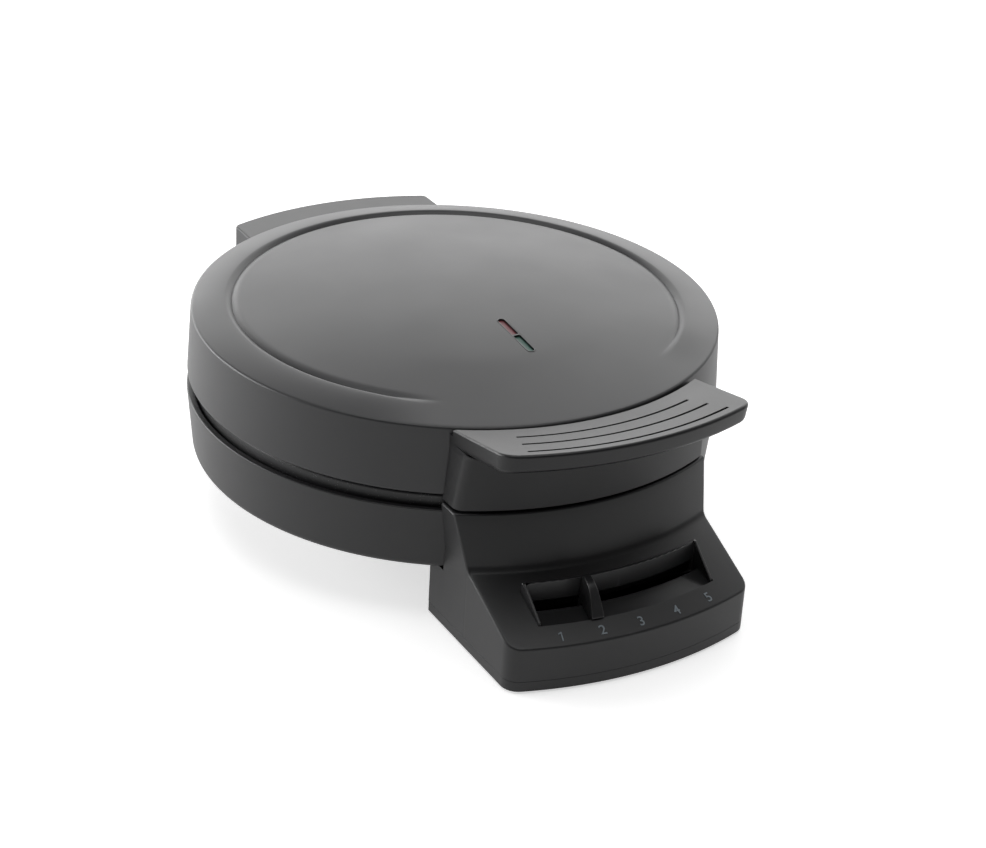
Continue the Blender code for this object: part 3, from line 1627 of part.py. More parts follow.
def lead_route(x_start, end_point):
    """From the terminal block up through the bowl floor and along it to a part under the plate."""
    terminal_top = cover_floor_top + terminal_height
    hole_x = math.copysign(lead_hole_x, x_start)
    run_height = bowl_floor_top + lead_radius + fit_gap
    clear = terminal_half_width + lead_radius + fit_gap
    return [
        Vector((hole_x, terminal_y - clear, terminal_top / 2)),
        Vector((hole_x, terminal_y - clear, deck_top)),
        Vector((hole_x, terminal_y - clear - lead_radius, run_height)),
        Vector((hole_x, terminal_y - clear - lead_hole_radius, run_height + lead_radius)),
        end_point,
    ]


def build_leads():
    """Insulated leads from the terminal block to the two heater tails."""
    depth = mating_height - plate_depth - fit_gap - heater_radius * 3 - heater_tail
    for name, side in (("live_lead", -1), ("neutral_lead", 1)):
        tail = plan_point(heater_ring_radius, math.pi - side * heater_open_angle)
        end = Vector((tail.x, tail.y, depth - fit_gap - lead_radius))
        tube(name, lead_route(side * lead_hole_x, end), lead_radius, ceramic(), body_frame, resolution=1)


# Indicator window
def build_indicator():
    half = indicator_length / 2
    bezel_outline = stadium(half, indicator_half_width)
    bezel = on_indicator("indicator_bezel", prism(bezel_outline, -indicator_depth, indicator_proud), gloss_plastic())
    inner_half = half - indicator_frame_wall
    inner_width = indicator_half_width - indicator_frame_wall
    window = prism(stadium(inner_half, inner_width), -indicator_depth - cut_overrun, cut_overrun)
    opening = on_indicator("bezel_opening", window)
    wide = indicator_length
    bar = block((-wide, wide), (-indicator_bar / 2, indicator_bar / 2), (-wide, wide))
    cut(opening, on_indicator("bezel_bar", bar))
    cut(bezel, opening)
    lenses = (("red_lens", 1, (0.55, 0.05, 0.05)), ("green_lens", -1, (0.1, 0.28, 0.2)))
    for name, side, colour in lenses:
        top = indicator_proud - fit_gap
        body = prism(stadium(inner_half - fit_gap, inner_width - fit_gap), top - lens_thickness, top)
        made = on_indicator(name, body, lens(name, colour))
        limits = sorted((side * (indicator_bar / 2 + fit_gap), side * wide))
        trim_to(made, on_indicator(f"{name}_half", block((-wide, wide), limits, (-wide, wide))))


def lamp_height():
    return -indicator_depth - lamp_drop


def build_lamps():
    """Two lamps on a holder that hangs under the indicator bezel."""
    for name, side in (("red_lamp", 1), ("green_lamp", -1)):
        bm = rods([(0, 0)], lamp_radius, -lamp_half_length, lamp_half_length, 10)
        bm.transform(Matrix.Translation((0, side * lamp_spacing, lamp_height())) @ Matrix.Rotation(math.pi / 2, 4, "X"))
        on_indicator(name, bm, lamp_glass())
    half_length = indicator_length / 2
    top = -indicator_depth - fit_gap
    bottom = lamp_height() - lamp_radius - fit_gap - holder_floor
    body = block((-holder_half_width, holder_half_width), (-half_length, half_length), (bottom, top))
    holder = on_indicator("lamp_holder", body, satin_plastic())
    inner_half = holder_half_width - holder_wall
    floor = bottom + holder_floor
    for side in (-1, 1):
        ends = sorted((side * holder_wall / 2, side * (half_length - holder_wall)))
        pocket = block((-inner_half, inner_half), ends, (floor, top + cut_overrun))
        cut(holder, on_indicator(f"lamp_pocket_{side + 1}", pocket))


build_lid_shell()
build_base_shell()
lower_plate = build_cooking_plate("lower", lower_plate_frame)
build_lower_bosses(lower_plate)
upper_plate = build_cooking_plate("upper", upper_plate_frame)
build_upper_holes(upper_plate)
for prefix, frame in (("lower", lower_plate_frame), ("upper", upper_plate_frame)):
    build_heater(prefix, frame)
    build_heat_shield(prefix, frame)
build_plate_screws()
build_control_housing()
build_slider_track()
build_control_cover()
build_feet()
build_carriage()
build_slider_knob()
build_thermostat_drive()
build_thermostat()
build_thermal_fuse()
build_handle()
add_side_screws("handle_screw", 0)
build_rear_housing()
build_rear_bottom_cover()
build_lid_rear_cover()
add_side_screws("rear_side_screw", math.pi)
build_hinge_rod()
build_housing_screws()
build_cord_gland()
build_terminal_block()
build_leads()
build_indicator()
build_lamps()
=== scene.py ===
from math import asin, atan, atan2, copysign, cos, degrees, exp, hypot, pi, radians, sin, sqrt, tan, tau

import bpy
from mathutils import Matrix, Vector


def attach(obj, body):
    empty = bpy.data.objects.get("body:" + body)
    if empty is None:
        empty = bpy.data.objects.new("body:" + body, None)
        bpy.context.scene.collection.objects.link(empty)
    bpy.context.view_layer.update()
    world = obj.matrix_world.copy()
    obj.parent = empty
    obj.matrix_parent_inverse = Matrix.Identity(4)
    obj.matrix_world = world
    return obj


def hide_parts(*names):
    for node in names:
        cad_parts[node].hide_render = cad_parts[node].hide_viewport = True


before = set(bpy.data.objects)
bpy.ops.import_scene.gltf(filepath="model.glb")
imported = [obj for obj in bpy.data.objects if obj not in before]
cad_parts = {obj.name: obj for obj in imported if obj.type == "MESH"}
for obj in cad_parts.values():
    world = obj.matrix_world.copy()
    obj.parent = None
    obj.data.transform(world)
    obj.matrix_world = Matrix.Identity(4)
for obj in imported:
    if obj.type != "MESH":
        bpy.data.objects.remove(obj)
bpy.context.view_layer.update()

bodyMiddle = (0, 0.014, 0)  # foot of the upright axis that the round parts turn about
print("packed frame loaded:", len(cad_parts), "nodes")


# working steps that every piece shares
def deselectAll():
    if bpy.context.object and bpy.context.object.mode != "OBJECT":
        bpy.ops.object.mode_set(mode="OBJECT")
    bpy.ops.object.select_all(action="DESELECT")


def activate(piece):
    deselectAll()
    piece.select_set(True)
    bpy.context.view_layer.objects.active = piece


def editAll(piece):
    activate(piece)
    bpy.ops.object.mode_set(mode="EDIT")
    bpy.ops.mesh.select_mode(type="VERT")
    bpy.ops.mesh.select_all(action="SELECT")


def justAdded(name):
    bpy.context.object.name = name
    return bpy.context.object


def fixPlace(piece, **place):  # take its location, turn or scale into the mesh
    activate(piece)
    for key, value in place.items():
        setattr(piece, key, value)
    bpy.ops.object.transform_apply(location=True, rotation=True, scale=True)
    return piece


def pull(x, y, z):
    bpy.ops.mesh.extrude_region_move(TRANSFORM_OT_translate={"value": (x, y, z)})


def drawPath(name, points, closed=True):  # one vertex, extruded from point to point
    deselectAll()
    bpy.ops.mesh.primitive_plane_add(size=0.01, location=(0, 0, 0))
    piece = justAdded(name)
    editAll(piece)
    bpy.ops.mesh.merge(type="CENTER")
    bpy.ops.transform.translate(value=points[0])
    for start, end in zip(points, points[1:]):
        pull(*(Vector(end) - Vector(start)))
    bpy.ops.mesh.select_all(action="SELECT")
    if closed:
        bpy.ops.mesh.edge_face_add()
    return piece


def cleanUp(piece, reach=1e-6):
    editAll(piece)
    bpy.ops.mesh.remove_doubles(threshold=reach)
    bpy.ops.mesh.select_all(action="SELECT")
    bpy.ops.mesh.normals_make_consistent(inside=False)
    bpy.ops.object.mode_set(mode="OBJECT")
    return piece


def turnedPiece(name, profile, steps=180):  # (radius, height) pairs from pole to pole, spun right round
    piece = drawPath(name, [(r, 0, z) for r, z in profile], closed=False)
    bpy.ops.mesh.spin(steps=steps, angle=tau, center=(0, 0, 0), axis=(0, 0, 1))
    return cleanUp(piece)


def sectorPiece(name, profile, half, middle=0.0, steps=60):  # closed section swept about the front
    start = middle - half - pi / 2
    piece = drawPath(name, [(r * cos(start), r * sin(start), z) for r, z in profile])
    bpy.ops.mesh.spin(steps=steps, angle=2 * half, center=(0, 0, 0), axis=(0, 0, -1))
    return cleanUp(piece)


def prismPiece(name, outline, bottom, top):  # flat outline pulled up
    piece = drawPath(name, [(x, y, bottom) for x, y in outline])
    pull(0, 0, top - bottom)
    return cleanUp(piece)


def blockPiece(name, low, high):
    deselectAll()
    bpy.ops.mesh.primitive_cube_add(size=1, location=[(a + b) / 2 for a, b in zip(low, high)])
    return fixPlace(justAdded(name), scale=[b - a for a, b in zip(low, high)])


def rodPiece(name, radius, start, end, steps=32):
    deselectAll()
    start, end = Vector(start), Vector(end)
    bpy.ops.mesh.primitive_cylinder_add(
        vertices=steps, radius=radius, depth=(end - start).length, location=(start + end) / 2,
        rotation=(end - start).to_track_quat("Z", "Y").to_euler(),
    )
    return fixPlace(justAdded(name))


def shapeWith(piece, kind, **values):
    activate(piece)
    bpy.ops.object.modifier_add(type=kind)
    modifier = piece.modifiers[-1]
    for key, value in values.items():
        setattr(modifier, key, value)
    bpy.ops.object.modifier_apply(modifier=modifier.name)
    return piece


def carve(piece, *tools, how="DIFFERENCE"):
    for tool in tools:
        shapeWith(piece, "BOOLEAN", operation=how, solver="EXACT", object=tool)
        bpy.data.objects.remove(tool, do_unlink=True)
    return cleanUp(piece, 1e-5)


def roundEdges(piece, width, segments=3, angle=32):
    shapeWith(
        piece, "BEVEL", width=width, segments=segments, limit_method="ANGLE",
        angle_limit=radians(angle), use_clamp_overlap=False, miter_outer="MITER_ARC",
    )
    return cleanUp(piece, 2e-5)


def settle(piece, finish, body, *nodes, slot=None, angle=34):  # on the body axis, with its finish
    fixPlace(piece, location=bodyMiddle)
    bpy.ops.object.shade_smooth_by_angle(angle=radians(angle))
    shapeWith(piece, "WEIGHTED_NORMAL", keep_sharp=True, weight=60)
    piece.data.materials.clear()
    piece.data.materials.append(finish)
    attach(piece, body)
    if nodes:
        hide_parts(*nodes)
    print("made", piece.name, len(piece.data.polygons), "faces")


def arcPoints(middle, radius, first, last, count):  # rounding in a profile, angles in degrees
    made = []
    for i in range(count + 1):
        angle = radians(first + (last - first) * i / count)
        made.append((middle[0] + radius * cos(angle), middle[1] + radius * sin(angle)))
    return made


def linePoints(start, end, count):  # points between two ends, both left out
    made = []
    for i in range(1, count):
        made.append(tuple(a + (b - a) * i / count for a, b in zip(start, end)))
    return made


def frontPoint(radius, angle):  # plan point at an angle from the front
    return radius * sin(angle), -radius * cos(angle)


def planOutline(halfWidth, reach, corner, rear, facing=-1, frontSteps=40, cornerSteps=8):
    cornerX = halfWidth - corner  # straight sides, an arc about the body axis, rounded corners
    cornerY = sqrt((reach - corner) ** 2 - cornerX ** 2)
    cornerAngle = atan2(cornerX, cornerY)
    right = []
    for i in range(cornerSteps + 1):
        angle = pi / 2 + (cornerAngle - pi / 2) * i / cornerSteps
        right.append((cornerX + corner * sin(angle), cornerY + corner * cos(angle)))
    front = []
    for i in range(1, frontSteps):
        angle = cornerAngle - 2 * cornerAngle * i / frontSteps
        front.append((reach * sin(angle), reach * cos(angle)))
    left = [(-x, y) for x, y in reversed(right)]
    points = [(halfWidth, rear)] + right + front + left + [(-halfWidth, rear)]
    return [(x, facing * y) for x, y in points]


def smooth(share):
    share = min(max(share, 0.0), 1.0)
    return share * share * (3 - 2 * share)


def layGrid(name, rows):  # a grid with each of its points laid where the surface runs
    deselectAll()
    across, along = len(rows[0]) - 1, len(rows) - 1
    bpy.ops.mesh.primitive_grid_add(x_subdivisions=across, y_subdivisions=along, size=2)
    piece = justAdded(name)
    for vertex in piece.data.vertices:
        vertex.co = rows[round((vertex.co.y + 1) / 2 * along)][round((vertex.co.x + 1) / 2 * across)]
    return piece


def joinMeshes(piece, *others):
    activate(piece)
    for other in others:
        other.select_set(True)
    bpy.ops.object.join()
    return piece


def selectAt(piece, axis, place, reach):  # only the points in one flat place, left in edit mode
    editAll(piece)
    bpy.ops.mesh.select_all(action="DESELECT")
    bpy.ops.object.mode_set(mode="OBJECT")
    for vertex in piece.data.vertices:
        vertex.select = abs(vertex.co[axis] - place) < reach
    bpy.ops.object.mode_set(mode="EDIT")


def fillAt(piece, axis, place):  # close the open edges that lie in one flat place
    selectAt(piece, axis, place, 2e-6)
    bpy.ops.mesh.edge_face_add()
    bpy.ops.object.mode_set(mode="OBJECT")
    return piece


def edgeArc(corner, first, second, radius, steps):  # rounding between two surfaces with these normals
    first, second = first.normalized(), second.normalized()
    centre = corner - radius * (first + second) / (1 + first.dot(second))
    return [centre + radius * first.slerp(second, i / steps) for i in range(steps + 1)]


def frontStations(halfWidth, reach, corner, cornerSteps=8, frontSteps=48):
    cornerX = halfWidth - corner  # plan points and outward normals of one rounded corner and of the front arc
    cornerY = sqrt((reach - corner) ** 2 - cornerX ** 2)
    limit = atan2(cornerX, cornerY)
    turned = []
    for i in range(cornerSteps):
        angle = (pi / 2 - limit) * i / cornerSteps
        out = (cos(angle), -sin(angle))
        turned.append(((cornerX + corner * out[0], -cornerY + corner * out[1]), out))
    front = []
    for i in range(frontSteps + 1):
        angle = limit - 2 * limit * i / frontSteps
        out = (sin(angle), -cos(angle))
        front.append(((reach * out[0], reach * out[1]), out))
    return turned, front


def surfaceRows(edge, sideCount, frontSteps):  # rows across a turned surface between its two sides
    rows = []
    for i in range(sideCount):
        right, left = edge[i], edge[len(edge) - 1 - i]
        row = []
        radius, limit = hypot(right.x, right.y), atan2(right.x, -right.y)
        for k in range(frontSteps + 1):
            if i == 0:
                row.append(right.lerp(left, k / frontSteps))
            else:
                row.append(Vector((*frontPoint(radius, limit * (1 - 2 * k / frontSteps)), right.z)))
        rows.append(row)
    rows.append(edge[sideCount:sideCount + frontSteps + 1])
    return rows


def mirrored(points):
    return [Vector((-p.x, p.y, p.z)) for p in reversed(points)]


# nodes of the materials, where an input is a value or the output of another node
def feed(node, inputs):
    for key, value in inputs.items():
        if isinstance(value, bpy.types.NodeSocket):
            node.id_data.links.new(value, node.inputs[key])
        else:
            node.inputs[key].default_value = value
    return node


def addNode(tree, kind, inputs=None, **settings):
    node = tree.nodes.new(kind)
    for key, value in settings.items():
        setattr(node, key, value)
    return feed(node, inputs or {})


def mathNode(tree, operation, first, second):
    return addNode(tree, "ShaderNodeMath", {0: first, 1: second}, operation=operation).outputs[0]


def mixColour(tree, share, first, second):
    inputs = {"Factor": share, "A": first, "B": second}
    return addNode(tree, "ShaderNodeMix", inputs, data_type="RGBA").outputs["Result"]


def softStep(tree, value, low, high, least=0.0):
    inputs = {"Value": value, "From Min": low, "From Max": high, "To Min": least}
    return addNode(tree, "ShaderNodeMapRange", inputs, interpolation_type="SMOOTHSTEP").outputs["Result"]


def objectPlace(tree):
    return addNode(tree, "ShaderNodeTexCoord").outputs["Object"]


def bumpFrom(tree, height, strength, distance):
    inputs = {"Strength": strength, "Distance": distance, "Height": height}
    return addNode(tree, "ShaderNodeBump", inputs).outputs["Normal"]


# effects that several materials share
def newGroup(name, inputs, outputs):
    group = bpy.data.node_groups.new(name, "ShaderNodeTree")
    for label, (kind, value) in inputs.items():
        group.interface.new_socket(name=label, in_out="INPUT", socket_type=kind).default_value = value
    for label, kind in outputs.items():
        group.interface.new_socket(name=label, in_out="OUTPUT", socket_type=kind)
    return group, group.nodes.new("NodeGroupInput").outputs, group.nodes.new("NodeGroupOutput")


def buildMouldedGrain():  # fine spark-eroded grain of a plastic mould, with slow cloudy gloss changes
    number = "NodeSocketFloat"
    inputs = {
        "grainScale": (number, 2600.0), "cloudScale": (number, 30.0),
        "roughness": (number, 0.4), "roughnessSpread": (number, 0.06),
    }
    outputs = {"height": number, "roughness": number, "cloud": number}
    tree, given, end = newGroup("mouldedGrain", inputs, outputs)
    place = objectPlace(tree)
    grainPlace = {"Vector": place, "Scale": given["grainScale"]}
    fine = addNode(tree, "ShaderNodeTexNoise", {**grainPlace, "Detail": 2.0})
    coarse = addNode(tree, "ShaderNodeTexVoronoi", grainPlace, feature="F1")
    cloudInputs = {"Vector": place, "Scale": given["cloudScale"], "Detail": 4.0}
    cloud = addNode(tree, "ShaderNodeTexNoise", cloudInputs).outputs["Fac"]
    off = mathNode(tree, "SUBTRACT", cloud, 0.5)
    spread = mathNode(tree, "MULTIPLY", off, mathNode(tree, "MULTIPLY", given["roughnessSpread"], 2.0))
    half = mathNode(tree, "MULTIPLY", coarse.outputs["Distance"], 0.5)
    feed(end, {
        "height": mathNode(tree, "ADD", fine.outputs["Fac"], half),
        "roughness": mathNode(tree, "ADD", given["roughness"], spread),
        "cloud": cloud,
    })
    return tree


def buildPaintedEdgeHighlight():  # painted highlight: corners and crests lighter in colour, in cloudy patches, standing in for edge sheen
    inputs = {
        "colour": ("NodeSocketColor", (0.03, 0.03, 0.03, 1)),
        "edgeColour": ("NodeSocketColor", (0.06, 0.06, 0.06, 1)),
        "amount": ("NodeSocketFloat", 0.5), "cloud": ("NodeSocketFloat", 0.5),
    }
    tree, given, end = newGroup("paintedEdgeHighlight", inputs, {"colour": "NodeSocketColor"})
    pointed = addNode(tree, "ShaderNodeNewGeometry").outputs["Pointiness"]
    corners = softStep(tree, pointed, 0.52, 0.64)  # 0.5 is flat
    patchyHighlight = mathNode(tree, "MULTIPLY", corners, mathNode(tree, "ADD", given["cloud"], 0.25))
    # strength of the painted highlight on pointed corners
    edge = mathNode(tree, "MULTIPLY", patchyHighlight, given["amount"])
    feed(end, {"colour": mixColour(tree, edge, given["colour"], given["edgeColour"])})
    return tree


mouldedGrain = buildMouldedGrain()
paintedEdgeHighlight = buildPaintedEdgeHighlight()


def newMaterial(name):
    made = bpy.data.materials.new(name)
    made.use_nodes = True
    return made, made.node_tree, made.node_tree.nodes["Principled BSDF"]


def placeGroup(tree, group, **inputs):
    return addNode(tree, "ShaderNodeGroup", inputs, node_tree=group).outputs


def grainAndPaintedHighlight(tree, shader, colours, grain, highlightAmount):  # colour with its painted edge highlight, and roughness, giving back the grain's height
    moulded = placeGroup(tree, mouldedGrain, **grain)
    plain, edge = ((*colour, 1) for colour in colours)
    highlighted = placeGroup(tree, paintedEdgeHighlight, colour=plain, edgeColour=edge, amount=highlightAmount, cloud=moulded["cloud"])
    feed(shader, {"Base Color": highlighted["colour"], "Roughness": moulded["roughness"]})
    return moulded["height"]


def plastic(name, colour, edgeColour, roughness, grain=2600.0, bump=0.12, highlightAmount=0.5, specular=0.5):
    made, tree, shader = newMaterial(name)
    values = {"grainScale": grain, "roughness": roughness, "roughnessSpread": 0.05}
    height = grainAndPaintedHighlight(tree, shader, (colour, edgeColour), values, highlightAmount)
    feed(shader, {"Normal": bumpFrom(tree, height, bump, 0.00004), "Specular IOR Level": specular})
    return made


def metal(name, colour, edgeColour, roughness, grain=900.0, stretch=(1, 1, 1)):
    made, tree, shader = newMaterial(name)
    mapping = addNode(tree, "ShaderNodeMapping", {"Vector": objectPlace(tree), "Scale": stretch})
    brushInputs = {"Vector": mapping.outputs["Vector"], "Scale": grain, "Detail": 4.0}
    brush = addNode(tree, "ShaderNodeTexNoise", brushInputs).outputs["Fac"]
    values = {"grainScale": grain, "roughness": roughness, "roughnessSpread": 0.08}
    grainAndPaintedHighlight(tree, shader, (colour, edgeColour), values, 0.6)
    feed(shader, {"Normal": bumpFrom(tree, brush, 0.1, 0.00003), "Metallic": 1.0})
    return made


def coatedCasting(name):  # dark non-stick coating with fine pale specks over a cast surface
    made, tree, shader = newMaterial(name)
    inputs = {"Vector": objectPlace(tree), "Scale": 1300.0}
    specks = addNode(tree, "ShaderNodeTexVoronoi", inputs, feature="F1")
    spot = softStep(tree, specks.outputs["Distance"], 0.22, 0.10)
    some = mathNode(tree, "GREATER_THAN", specks.outputs["Color"], 0.62)
    grain = placeGroup(tree, mouldedGrain, grainScale=1500.0, roughness=0.42, roughnessSpread=0.07)
    mask = mathNode(tree, "MULTIPLY", spot, some)
    feed(shader, {
        "Base Color": mixColour(tree, mask, (0.016, 0.016, 0.017, 1), (0.16, 0.16, 0.165, 1)),
        "Roughness": grain["roughness"], "Normal": bumpFrom(tree, grain["height"], 0.3, 0.00006),
    })
    return made


def clearPart(name, colour, roughness):  # coloured window or lamp glass
    made, tree, shader = newMaterial(name)
    values = {"grainScale": 900.0, "cloudScale": 200.0, "roughness": roughness, "roughnessSpread": 0.05}
    grain = placeGroup(tree, mouldedGrain, **values)
    darker = (*[c * 0.75 for c in colour], 1)
    feed(shader, {
        "Base Color": mixColour(tree, grain["cloud"], darker, (*colour, 1)), "Roughness": grain["roughness"],
        "Normal": bumpFrom(tree, grain["height"], 0.05, 0.00003), "Specular IOR Level": 0.25,
    })
    return made


# the second colour of each plastic and metal is the painted highlight that its corners and crests get
finishes = {
    "lid": plastic("lidSatin", (0.028, 0.028, 0.0295), (0.058, 0.058, 0.061), 0.42, bump=0.10),
    # handle: a darker copy of the housing satin, painted shade standing in for the dark front wall of the
    # grip
    "grip": plastic(
        "gripSatinPaintedShade", (0.009, 0.009, 0.0098), (0.040, 0.040, 0.043), 0.40, bump=0.14, specular=0.40,
    ),
    "satin": plastic("housingSatin", (0.015, 0.015, 0.016), (0.045, 0.045, 0.048), 0.42, bump=0.14),
    "gloss": plastic("glossBlack", (0.020, 0.020, 0.021), (0.070, 0.070, 0.073), 0.30, bump=0.05, highlightAmount=0.6),
    "inner": plastic("innerBlack", (0.02, 0.02, 0.02), (0.03, 0.03, 0.03), 0.6, bump=0.25),
    "bakelite": plastic("heatPlastic", (0.10, 0.075, 0.05), (0.14, 0.11, 0.08), 0.55, bump=0.2),
    "rubber": plastic(
        "footRubber", (0.018, 0.018, 0.018), (0.03, 0.03, 0.03), 0.85, grain=1200.0, bump=0.35, highlightAmount=0.3,
    ),
    "ceramic": plastic(
        "ceramic", (0.72, 0.70, 0.64), (0.78, 0.76, 0.7), 0.5, grain=1500.0, bump=0.2, highlightAmount=0.2,
    ),
    "leadCover": plastic("leadCover", (0.55, 0.53, 0.48), (0.6, 0.58, 0.5), 0.6, grain=1500.0, highlightAmount=0.2),
    "plate": coatedCasting("coatedCasting"),
    "steel": metal("bareSteel", (0.52, 0.52, 0.53), (0.66, 0.66, 0.67), 0.3),
    "heater": metal("heaterSteel", (0.25, 0.23, 0.21), (0.34, 0.32, 0.3), 0.5),
    "sheet": metal("sheetAluminium", (0.66, 0.66, 0.67), (0.75, 0.75, 0.76), 0.32, stretch=(1, 12, 1)),
    "red": clearPart("redWindow", (0.21, 0.060, 0.068), 0.35),
    "green": clearPart("greenWindow", (0.050, 0.125, 0.100), 0.35),
    "lamp": clearPart("lampGlass", (0.62, 0.5, 0.45), 0.15),
    "print": plastic("scalePrint", (0.20, 0.235, 0.26), (0.22, 0.255, 0.28), 0.5, highlightAmount=0.1),
}
print("finishes ready:", len(finishes))


# lid top, with the hole for the indicator window
windowFrame = {
    "radius": 0.0484, "length": 0.0268, "half": 0.0019, "wall": 0.00045, "bar": 0.0009, "deep": 0.0030,
    "sunk": 0.0008, "proud": 0.0, "gap": 0.0001, "lensFoot": 0.0006, "edge": 0.00010, "lensEdge": 0.00012,
}
lidTop = {
    "rim": 0.0856, "radius": 0.107, "domeRise": 0.0100, "panelRadius": 0.0907, "panelEdge": 0.0023,
    "stepHeight": 0.0006, "stepWidth": 0.0027, "roll": 0.0008, "rollWidth": 0.0036, "tongue": 0.0640,
    "edge": 0.0010, "rimRound": 0.0012, "skirtRadius": 0.1085, "skirtTop": 0.0592, "skirtRound": 0.0013,
    "bottom": 0.0577, "wall": 0.0022, "ledge": 0.0655, "ledgeDepth": 0.0034, "ledgeTop": 0.0670,
    "fallOff": 1.32, "fadeMiddle": 41.0, "fadeWidth": 20.0,
}


def stadium(halfLength, halfWidth, steps=10):
    points = []
    for sign in (1, -1):
        for i in range(steps + 1):
            angle = pi * i / steps
            along = halfLength - halfWidth + halfWidth * sin(angle)
            points.append((sign * halfWidth * cos(angle), sign * along))
    return points


def layOnDome(piece):  # lift a flat piece to the dome and tilt it to the slope there
    radius, foot = windowFrame["radius"], lidTop["panelRadius"]
    fall = lidTop["domeRise"] - lidTop["panelEdge"]
    tilt = atan(2 * fall * radius / foot ** 2)
    height = lidTop["rim"] + lidTop["domeRise"] - fall * (radius / foot) ** 2
    return fixPlace(piece, rotation_euler=(tilt, 0, 0), location=(0, -radius, height))


def lidHeights(values):  # rise over the rim of the full ring and of the plain front, at a radius
    foot, tongue = values["panelRadius"], values["tongue"]
    crest = foot + values["stepWidth"]
    top = values["panelEdge"] + values["stepHeight"]
    last = values["radius"] - values["edge"]

    def dome(radius):
        return values["domeRise"] - (values["domeRise"] - values["panelEdge"]) * (radius / foot) ** 2

    def full(radius):
        if radius <= foot:
            return dome(radius) - values["roll"] * max((radius - foot) / values["rollWidth"] + 1, 0) ** 2
        if radius <= crest:
            low = values["panelEdge"] - values["roll"]
            return low + (top - low) * sin((radius - foot) / values["stepWidth"] * pi / 2)
        return top * (1 - ((radius - crest) / (last - crest)) ** values["fallOff"])

    def plain(radius):
        return dome(tongue) * (last - radius) / (last - tongue)

    return crest, last, full, plain


def shiftBy(piece, name, amounts):  # raise or lower points by amounts, all of one sign
    most = max(abs(amount) for amount in amounts.values())
    group = piece.vertex_groups.new(name=name)
    for index, amount in amounts.items():
        group.add([index], abs(amount) / most, "REPLACE")
    way = copysign(most, next(iter(amounts.values())))
    shapeWith(piece, "DISPLACE", direction="Z", strength=way, mid_level=0.0, vertex_group=name)
    piece.vertex_groups.clear()


def lidProfile(values):
    crest, last, full = lidHeights(values)[:3]
    rim, foot, wall = values["rim"], values["panelRadius"], values["wall"]
    radii = [foot * i / 21 for i in range(21)]
    radii += [foot - values["rollWidth"] * i / 6 for i in (6, 5, 4, 3, 2, 1, 0)]
    radii += [foot + (crest - foot) * i / 8 for i in range(1, 9)]
    radii += [crest + (last - crest) * i / 12 for i in range(1, 13)]
    outer = [(radius, rim + full(radius)) for radius in radii]
    outer += arcPoints((last - 0.0002, rim - values["rimRound"]), values["rimRound"], 66, 4, 5)
    skirt, edge = values["skirtRadius"], values["skirtRound"]
    outer += linePoints(outer[-1], (skirt, values["skirtTop"]), 6)
    outer += [(skirt, values["skirtTop"])]
    outer += arcPoints((skirt - edge, values["bottom"] + edge), edge, 0, -90, 5)[1:]
    inside, ledge, deep = skirt - wall, values["ledge"], values["ledgeDepth"]
    return outer + [
        (inside, values["bottom"]), (inside, ledge), (inside - deep, ledge),
        (inside - deep, values["ledgeTop"]), (inside - 0.0010, 0.0688),
        (values["radius"] - wall, rim - 2 * wall), (values["radius"] - 2 * wall, rim - wall),
        (foot * 0.6, rim + 0.0048), (0, rim + values["domeRise"] - wall),
    ]


def makeLidTop(values):
    last, full, plain = lidHeights(values)[1:]
    rim = values["rim"]
    piece = turnedPiece("lidTop", lidProfile(values), 240)
    raised, lowered = {}, {}
    for vertex in piece.data.vertices:
        x, y, z = vertex.co
        radius = hypot(x, y)
        if z > rim - 0.0002 and values["tongue"] < radius < last and z > rim + full(radius) - 0.0005:
            away = degrees(abs(atan2(x, -y)))
            share = smooth(0.5 - (away - values["fadeMiddle"]) / values["fadeWidth"])
            shift = (plain(radius) - full(radius)) * share
            if abs(shift) > 1e-7:
                (raised if shift > 0 else lowered)[vertex.index] = shift
    shiftBy(piece, "frontRaised", raised)
    shiftBy(piece, "frontLowered", lowered)
    gap = windowFrame["gap"]
    hole = stadium(windowFrame["length"] / 2 + gap, windowFrame["half"] + gap)
    carve(piece, layOnDome(prismPiece("windowHole", hole, -0.006, 0.003)))
    settle(piece, finishes["lid"], "lid", "lid_shell", slot="lid_plastic", angle=40)


makeLidTop(lidTop)

# base bowl
baseBowl = {
    "topRadius": 0.1088, "bottomRadius": 0.1068, "top": 0.0515, "bottom": 0.0250, "fillet": 0.0030,
    "lip": 0.0005, "wall": 0.0022, "floor": 0.0023, "ledge": 0.0477, "ledgeDepth": 0.0036,
}


def makeBaseBowl(values):
    top, low, wall = values["topRadius"], values["bottomRadius"], values["wall"]
    fillet, lip, bottom = values["fillet"], values["lip"], values["bottom"]
    outer = [(0, bottom)]
    outer += linePoints(outer[0], (low - fillet, bottom), 3)
    outer += arcPoints((low - fillet, bottom + fillet), fillet, -90, 0, 8)
    outer += linePoints(outer[-1], (top, values["top"] - lip), 5)
    outer += arcPoints((top - lip, values["top"] - lip), lip, 0, 90, 4)
    ledge, inside, floor = values["ledge"], top - wall, bottom + values["floor"]
    inner = [
        (inside, values["top"]), (inside - 0.0003, ledge), (inside - values["ledgeDepth"], ledge),
        (inside - values["ledgeDepth"], ledge - 0.0015), (inside - 0.0008, ledge - 0.0032),
        (low - wall, floor + 0.0015), (low - wall - 0.0015, floor), (0, floor),
    ]
    piece = turnedPiece("baseBowl", outer + inner, 240)
    settle(piece, finishes["satin"], "base", "base_shell", slot="satin_plastic", angle=40)


makeBaseBowl(baseBowl)

